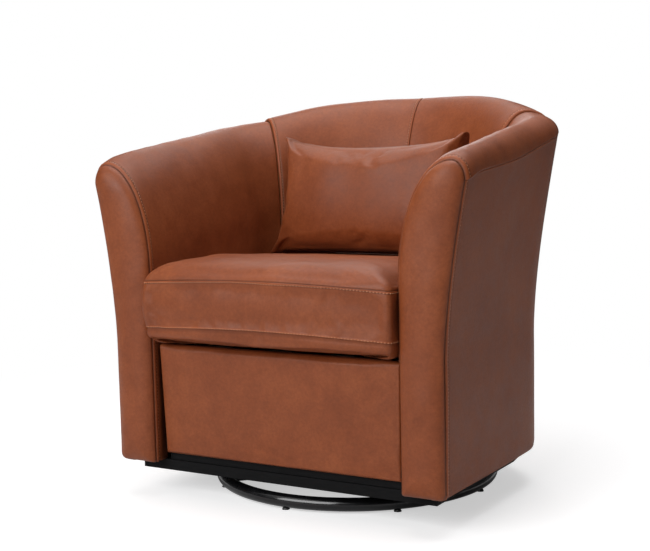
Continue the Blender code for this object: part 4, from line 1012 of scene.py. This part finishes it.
def cushion_points(count, rows):
    """Grid of the cushion, its outward directions, how clear of the arms it is, and its plan."""
    edge = cushion_outline(count)
    ahead = np.roll(edge, -1, axis=0) - np.roll(edge, 1, axis=0)
    outward = unit(np.c_[ahead[:, 1], -ahead[:, 0]])
    start = -ARM_FRONT - CUSHION_SPREAD_START - CUSHION_SPREAD
    clear = np.clip((start - edge[:, 1]) / CUSHION_SPREAD_RUN, 0, 1)
    edge = edge + np.c_[CUSHION_SPREAD * clear * edge[:, 0] / CUSHION_HALF, 0 * clear]
    across = edge[:, 0] / CUSHION_HALF
    forward = np.clip((-ARM_FRONT - edge[:, 1]) / (CUSHION_REACH - ARM_FRONT), 0, 1)
    reach = np.clip((HEART - edge[:, 1]) / (HEART + CUSHION_REACH), 0, 1)
    rise = SEAM_RISE * (1 - across**2) * reach
    lift = forward * (BOTTOM_LIFT + CORNER_LIFT * across**4)
    lower, upper = LOWER_SEAM + rise, UPPER_SEAM + rise
    heart = np.array([0.0, HEART])
    columns = []
    for row in rows:
        if row <= 1:
            place = heart + (edge - outward * UNDER_INSET - heart) * row
            z = CUSHION_BASE + lift * row**UNDER_POWER
        elif row < 2:
            turn = (row - 1) * math.pi / 2
            place = edge - outward * UNDER_INSET * (1 - math.sin(turn) ** CURL_POWER)
            base = CUSHION_BASE + lift
            z = base + (lower - base) * (1 - math.cos(turn) ** CURL_POWER)
        elif row <= 3:
            bulge = (SIDE_BULGE - SIDE_LEAN * edge[:, 0] / CUSHION_HALF) * clear
            place = edge + outward * (bulge * math.sin(math.pi * (row - 2)))[:, None]
            z = lower + (upper - back_dip(edge[:, 1]) - lower) * (row - 2)
        else:
            t = row - 3
            place = edge + (heart - edge) * t
            full = (1 - (1 - t) ** TOP_POWER) ** TOP_SQUARE
            z = upper + (CROWN - upper) * full - back_dip(place[:, 1])
        columns.append(np.c_[place, z + 0 * edge[:, 0]])
    return np.array(columns).transpose(1, 0, 2), outward, clear, edge


def closed_grid(points):
    """Points and faces of a round grid, with a fan of faces over the hole at each end."""
    columns, rows = points.shape[:2]
    faces = grid_faces(columns, rows, closed=True, flip=True)
    ends = [points[:, 0].mean(axis=0), points[:, -1].mean(axis=0)]
    centre, last = columns * rows, rows - 1
    rim = [(i * rows, (i + 1) % columns * rows) for i in range(columns)]
    faces += [(a, b, centre) for a, b in rim]
    faces += [(b + last, a + last, centre + 1) for a, b in rim]
    return np.r_[points.reshape(-1, 3), ends], faces


def cushion_settling(rows, columns):
    """Movement of the cushion's panels as they fill out between their held seams."""
    coarse = cushion_rows(False)
    points = cushion_points(COARSE_CUSHION_COLUMNS, coarse)[0]
    seams = (coarse <= 1) | (np.abs(coarse - 2) < 0.01) | (np.abs(coarse - 3) < 0.01)
    held = np.r_[np.tile(seams.astype(float), COARSE_CUSHION_COLUMNS), 1.0, 0.0]
    move = settled_cloth(*closed_grid(points), held, CUSHION_PRESSURE, CUSHION_GROWTH,
                         CUSHION_LIMIT)
    field = move[:-2].reshape(points.shape)
    wrapped = np.concatenate([field[-3:], field, field[:4]], axis=0)
    source = (np.arange(len(wrapped)) - 3) / COARSE_CUSHION_COLUMNS
    across = tap_matrix(source, np.arange(columns) / columns)
    return np.einsum("ac,bd,cdk->abk", across, tap_matrix(coarse, rows), wrapped)


def fill_cushion(points, rows, outward, clear):
    """Points moved as the filling pushes them, but not into the arms, and not far down."""
    move = cushion_settling(rows, len(points))
    sides = ((rows > 1) & (rows <= 3.03))[None, :, None]
    push = (move[..., :2] * outward[:, None, :]).sum(axis=2, keepdims=True)
    move[..., :2] *= np.where(sides & (push > 0), clear[:, None, None], 1.0)
    move[..., 2] = np.where(rows > 3, np.maximum(move[..., 2], -TOP_SAG), move[..., 2])
    return points + move


def build_cushion():
    """Boxed cushion with two sewn seams, in the place of its CAD cover."""
    rows = cushion_rows(True)
    count = CUSHION_COLUMNS
    points, outward, clear, edge = cushion_points(count, rows)
    points = fill_cushion(points, rows, outward, clear)
    lower = int(np.argmin(np.abs(rows - 2)))
    upper = int(np.argmin(np.abs(rows - 3)))
    normals = grid_normals(points, closed=True)
    if (normals[:, (lower + upper) // 2, :2] * outward).sum() < 0:
        normals = -normals
    flat = 0 * points[..., 0]
    along = (np.arange(count) * line_length(np.r_[edge, edge[:1]]) / count)[:, None] + flat
    steps = np.linalg.norm(np.diff(points, axis=1), axis=2).mean(axis=0)
    row_run = np.r_[0.0, np.cumsum(steps)]
    low = np.abs(row_run - row_run[lower])[None, :] + flat
    high = np.abs(row_run - row_run[upper])[None, :] + flat
    below = (row_run <= row_run[upper])[None, :]
    above = (row_run >= row_run[lower])[None, :]
    moves = seam_relief(high, np.where(below, 1.0, 0.0), NARROW)
    moves += seam_relief(low, np.where(above, 0.2, 0.0), NARROW)
    band = puckers(along, high, points, 41, height=0.0005, reach=0.008, start=PUCKER_START)
    top = puckers(along * TOP_PUCKER_STRETCH, high, points, 43, height=0.00035, reach=0.010,
                  start=PUCKER_START)
    moves += np.where(below, band, top)
    moves += above * puckers(along, low, points, 42, height=0.0004, reach=0.006,
                             start=PUCKER_START)
    room = np.clip((points[..., 2] - SEAT_LEVEL) / CALM_HEIGHT, 0, 1)
    beside_arms = np.abs(points[..., 0]) > CUSHION_HALF - TIGHT_EDGE
    room *= np.where(beside_arms, TIGHT_SHARE, 1.0)
    moves += waves(points, (0.0008, 0.15, 44), (0.0004, 0.05, 45)) * room - CUSHION_DRAW
    points = points + normals * moves[..., None]
    points[..., 2] = np.maximum(points[..., 2], SEAT_LEVEL)
    tone = seam_tone(high, np.where(below, 1.0, 0.0), NARROW, dip_shade=0.7)
    tone += np.where(above, 0.5, 0.6) * seam_tone(low, 0.0, NARROW)
    # Painted highlight on the ridge just above the lower seam
    tone += 0.30 * peak(low, place=0.0022, width=0.0011) * above
    item = mesh_object("leather_seat_cushion", *closed_grid(points), LEATHER,
                       np.r_[tone.ravel(), 0.0, 0.0])
    weld(item)
    belong(item, "seat_cushion", "saddle_leather", "seat_cushion_cover")
    loop = np.r_[np.arange(count), 0]
    stitched = (upper - STITCH_STEP, lower + LOWER_STITCH_STEP)
    stitches("thread_seat_cushion",
             [(points[loop, row], normals[loop, row]) for row in stitched], "seat_cushion")


# Lumbar pillow

PILLOW_HALF_WIDTH, PILLOW_HALF_HEIGHT = 0.225, 0.120
FRONT_CROWN, BACK_CROWN, PILLOW_EDGE, PILLOW_POWER = 0.052, 0.100, 0.0015, 0.42
SIDE_DRAW, TOP_DRAW, BOTTOM_DRAW, TAPER = 0.06, 0.17, 0.05, 0.05
PILLOW_RISE = 1.04
LEAN, TURN = math.radians(8.0), math.radians(3.0)
EAR_FULLNESS, EAR_REACH = 0.0065, 0.10
PILLOW_STEPS, COARSE_PILLOW_STEPS = 110, 52
PILLOW_PRESSURE, PILLOW_GROWTH, PILLOW_LIMIT = 6.0, 0.012, 0.009
RIPPLE_REACH, BROAD_RIM, RIM_TONE, RIM_TONE_REACH = 0.16, 0.15, 0.25, 0.012


def pillow_faces(steps):
    """Points of the pillow's back and front, on one grid of shares for each."""
    line = np.sin(np.linspace(-math.pi / 2, math.pi / 2, steps + 1))
    u, v = np.meshgrid(line, line, indexing="ij")
    width = PILLOW_HALF_WIDTH * (1 - TAPER * v)
    x = width * u * (1 - SIDE_DRAW * (1 - v * v) * np.abs(u))
    draw = np.where(v > 0, TOP_DRAW, BOTTOM_DRAW)
    z = PILLOW_HALF_HEIGHT * v * (1 - draw * (1 - u * u) * np.abs(v))
    full = (np.maximum(1 - u * u, 0) * np.maximum(1 - v * v, 0)) ** PILLOW_POWER
    corner = np.hypot(1 - np.abs(u), (1 - np.abs(v)) * PILLOW_HALF_HEIGHT / PILLOW_HALF_WIDTH)
    rim = np.minimum(1 - np.abs(u), 1 - np.abs(v))
    ear = EAR_FULLNESS * peak(corner, 0, EAR_REACH) * np.clip(rim / 0.01, 0, 1) ** 0.5
    sides = []
    for sign, crown in ((1, BACK_CROWN), (-1, FRONT_CROWN)):
        depth = PILLOW_EDGE + (crown - PILLOW_EDGE) * full + ear
        sides.append(np.stack([x, sign * depth, z], -1))
    return line, rim, sides


def pillow_mesh(sides):
    """One closed surface from the two sides: points, faces, and each point's index."""
    size = sides[0].shape[0]
    inside = np.zeros((size, size), bool)
    inside[1:-1, 1:-1] = True
    border = (sides[0] + sides[1]) / 2
    points = np.where(inside[..., None], sides[0], border).reshape(-1, 3)
    back = np.arange(size * size)
    front = back.copy()
    front[inside.ravel()] = size * size + np.arange(inside.sum())
    faces = grid_faces(size, size, flip=True)
    faces += [tuple(int(front[i]) for i in face) for face in grid_faces(size, size)]
    return np.r_[points, sides[1][inside]], faces, np.r_[back, front]


def pillow_settling(line):
    """Movement of the pillow's two sides as it is filled, read on a finer grid."""
    coarse, _, sides = pillow_faces(COARSE_PILLOW_STEPS)
    points, faces, index = pillow_mesh(sides)
    move = settled_cloth(points, faces, 0 * points[:, 0], PILLOW_PRESSURE, PILLOW_GROWTH,
                         PILLOW_LIMIT)
    taps = tap_matrix(coarse, line)
    fields = move[index].reshape(2, len(coarse), len(coarse), 3)
    return [np.einsum("ac,bd,cdk->abk", taps, taps, field) for field in fields]


def build_pillow():
    """Knife-edged pillow, in the place of its CAD cover."""
    low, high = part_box("pillow_cover")
    line, rim, sides = pillow_faces(PILLOW_STEPS)
    moves = pillow_settling(line)
    for side, move, sign in zip(sides, moves, (1, -1)):
        ripple = waves(side * [1, 0.3, 1], (0.0010, 0.05, 51 + sign))
        ripple *= np.exp(-rim / RIPPLE_REACH) * np.clip(rim / 0.03, 0, 1)
        broad = waves(side, (0.0010, 0.11, 53 + sign))
        side += move
        side[..., 0] *= PILLOW_HALF_WIDTH * (1 + TAPER) / np.abs(side[..., 0]).max()
        side[..., 2] *= PILLOW_RISE * PILLOW_HALF_HEIGHT / np.abs(side[..., 2]).max()
        side[..., 1] += sign * (ripple + broad * np.clip(rim / BROAD_RIM, 0, 1))
    turn = np.array(Matrix.Rotation(-TURN, 3, "Z") @ Matrix.Rotation(-LEAN, 3, "X"))
    sides = [side @ turn.T for side in sides]
    every = np.concatenate([side.reshape(-1, 3) for side in sides])
    shift = np.array([
        (low.x + high.x) / 2 - (every[:, 0].min() + every[:, 0].max()) / 2,
        high.y - every[:, 1].max(),
        low.z - every[:, 2].min(),
    ])
    points, faces, _ = pillow_mesh([side + shift for side in sides])
    rims = np.r_[rim.ravel(), rim[1:-1, 1:-1].ravel()]
    # Painted shade along the pillow's sewn edge
    tone = -RIM_TONE * np.exp(-rims / RIM_TONE_REACH)
    item = mesh_object("leather_lumbar_pillow", points, faces, LEATHER, tone=tone)
    weld(item)
    belong(item, "lumbar_pillow", "saddle_leather", "pillow_cover")


build_cushion()
build_pillow()

# Fillings: CAD node, piece, body, how far its surface is drawn in, and its shares of size

FULL_SIZE = (1.0, 1.0, 1.0)
FILLINGS = (
    ("arm_foam_left", "arm_filling_left", "seat", 0.0062, FULL_SIZE),
    ("arm_foam_right", "arm_filling_right", "seat", 0.0062, FULL_SIZE),
    ("back_foam", "back_filling", "seat", 0.005, FULL_SIZE),
    ("seat_cushion_foam", "seat_cushion_filling", "seat_cushion", 0.005, (0.97, 0.97, 0.86)),
    ("pillow_fill", "lumbar_pillow_filling", "lumbar_pillow", 0.003, (0.92, 0.78, 0.88)),
)


def shrunk_copy(node, name, body, amount, shares):
    """Foam just inside its leather: the form of a CAD node, drawn in along its normals and
    to shares of its size about its middle."""
    mesh = NODES[node].data.copy()
    mesh.name = name
    mesh.materials.clear()
    mesh.materials.append(FOAM)
    item = new_object(name, mesh)
    low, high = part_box(node)
    middle = (low + high) / 2
    with edited(item) as bm:
        bmesh.ops.remove_doubles(bm, verts=bm.verts, dist=0.0001)
        bm.normal_update()
        for vert in bm.verts:
            drawn = vert.co - vert.normal * amount - middle
            vert.co = middle + drawn * Vector(shares)
    belong(item, body, "foam", node)


for filling in FILLINGS:
    shrunk_copy(*filling)

# Base ring

RING_RADIUS, RING_TUBE_RADIUS = 0.268, 0.0125
RING_TURNS, RING_SIDES = 200, 24


def build_ring():
    low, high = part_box("base_ring")
    a = np.linspace(0, 2 * math.pi, RING_TURNS + 1)[:-1, None]
    b = np.linspace(0, 2 * math.pi, RING_SIDES + 1)[None, :]
    reach = RING_RADIUS + RING_TUBE_RADIUS * np.cos(b)
    height = (low.z + high.z) / 2 + RING_TUBE_RADIUS * np.sin(b) + 0 * a
    points = np.stack([reach * np.sin(a), -reach * np.cos(a), height], -1)
    item = grid_object("base_ring_tube", points, TUBE, closed=True)
    weld(item)
    belong(item, "base", "black_tube", "base_ring")


build_ring()

# Floor, background and light

FLOOR_SIZE = 12.0
FLOOR_LOW, FLOOR_HIGH = (0.71, 0.71, 0.715, 1.0), (0.73, 0.73, 0.735, 1.0)
FLOOR_LIFT, FLOOR_GLOSS = 0.53, 0.02
FADE_START, FADE_END = 0.55, 1.6
AMBIENT = 0.165
SKY_LOW, SKY_HIGH, SKY_START = 0.06, 1.3, 0.4
LAMP_AIM = Vector((0.0, 0.0, 0.4))

# Place, width, height and power of each lamp
LAMPS = {
    "key_light": ((-1.0, -4.1, 2.4), 3.8, 2.4, 164),
    "top_light": ((0.1, 0.1, 2.7), 2.2, 2.2, 44),
    "back_light": ((-1.8, 2.8, 1.9), 1.6, 1.6, 20),
}


def build_floor():
    """Floor that takes the object's shadow and is white to the camera farther away."""
    size = FLOOR_SIZE
    corners = [(-size, -size, 0), (size, -size, 0), (size, size, 0), (-size, size, 0)]
    n = Nodes(bpy.data.materials.new("floor"))
    n.set(Base_Color=n.ramp(n.noise(scale=3.0, detail=2.0), ((0.3, FLOOR_LOW), (0.7, FLOOR_HIGH))),
          Roughness=0.9, Specular_IOR_Level=0.0)
    far = n.node("ShaderNodeVectorMath", {0: n.where}, operation="LENGTH").outputs["Value"]
    fade = n.map(far, FADE_START, FADE_END, 0.0, 1.0, "SMOOTHSTEP")
    path = n.node("ShaderNodeLightPath").outputs
    seen = path["Is Camera Ray"]
    lift = n.total((seen, FLOOR_LIFT), (path["Is Glossy Ray"], FLOOR_GLOSS))
    inputs = {0: n.shader.outputs[0], 1: n.glow("ShaderNodeEmission", lift)}
    near = n.node("ShaderNodeAddShader", inputs).outputs[0]
    white = n.glow("ShaderNodeEmission", 1.0)
    n.show(n.join(n.math("MULTIPLY", seen, fade), near, white), "Material Output")
    mesh_object("floor", corners, [(0, 1, 2, 3)], n.owner)


def build_world():
    """White to the camera, a soft even light, and in gloss a sky brighter overhead."""
    world = bpy.data.worlds.new("world")
    bpy.context.scene.world = world
    n = Nodes(world)
    height = n.node("ShaderNodeSeparateXYZ", {0: n.places["Generated"]}).outputs["Z"]
    sky = n.map(height, SKY_START, 1.0, SKY_LOW, SKY_HIGH, "SMOOTHSTEP")
    path = n.node("ShaderNodeLightPath").outputs
    result = n.glow("ShaderNodeBackground", AMBIENT)
    for ray, strength in (("Is Glossy Ray", sky), ("Is Camera Ray", 1.0)):
        result = n.join(path[ray], result, n.glow("ShaderNodeBackground", strength))
    n.show(result, "World Output")


def area_light(name, place, width, height, power):
    data = bpy.data.lights.new(name, "AREA")
    assign(data, shape="RECTANGLE", size=width, size_y=height, energy=power)
    lamp = new_object(name, data)
    lamp.location = place
    lamp.rotation_euler = (LAMP_AIM - Vector(place)).to_track_quat("-Z", "Y").to_euler()


build_floor()
build_world()
for name, lamp in LAMPS.items():
    area_light(name, *lamp)

bpy.context.scene.view_settings.view_transform = "Standard"
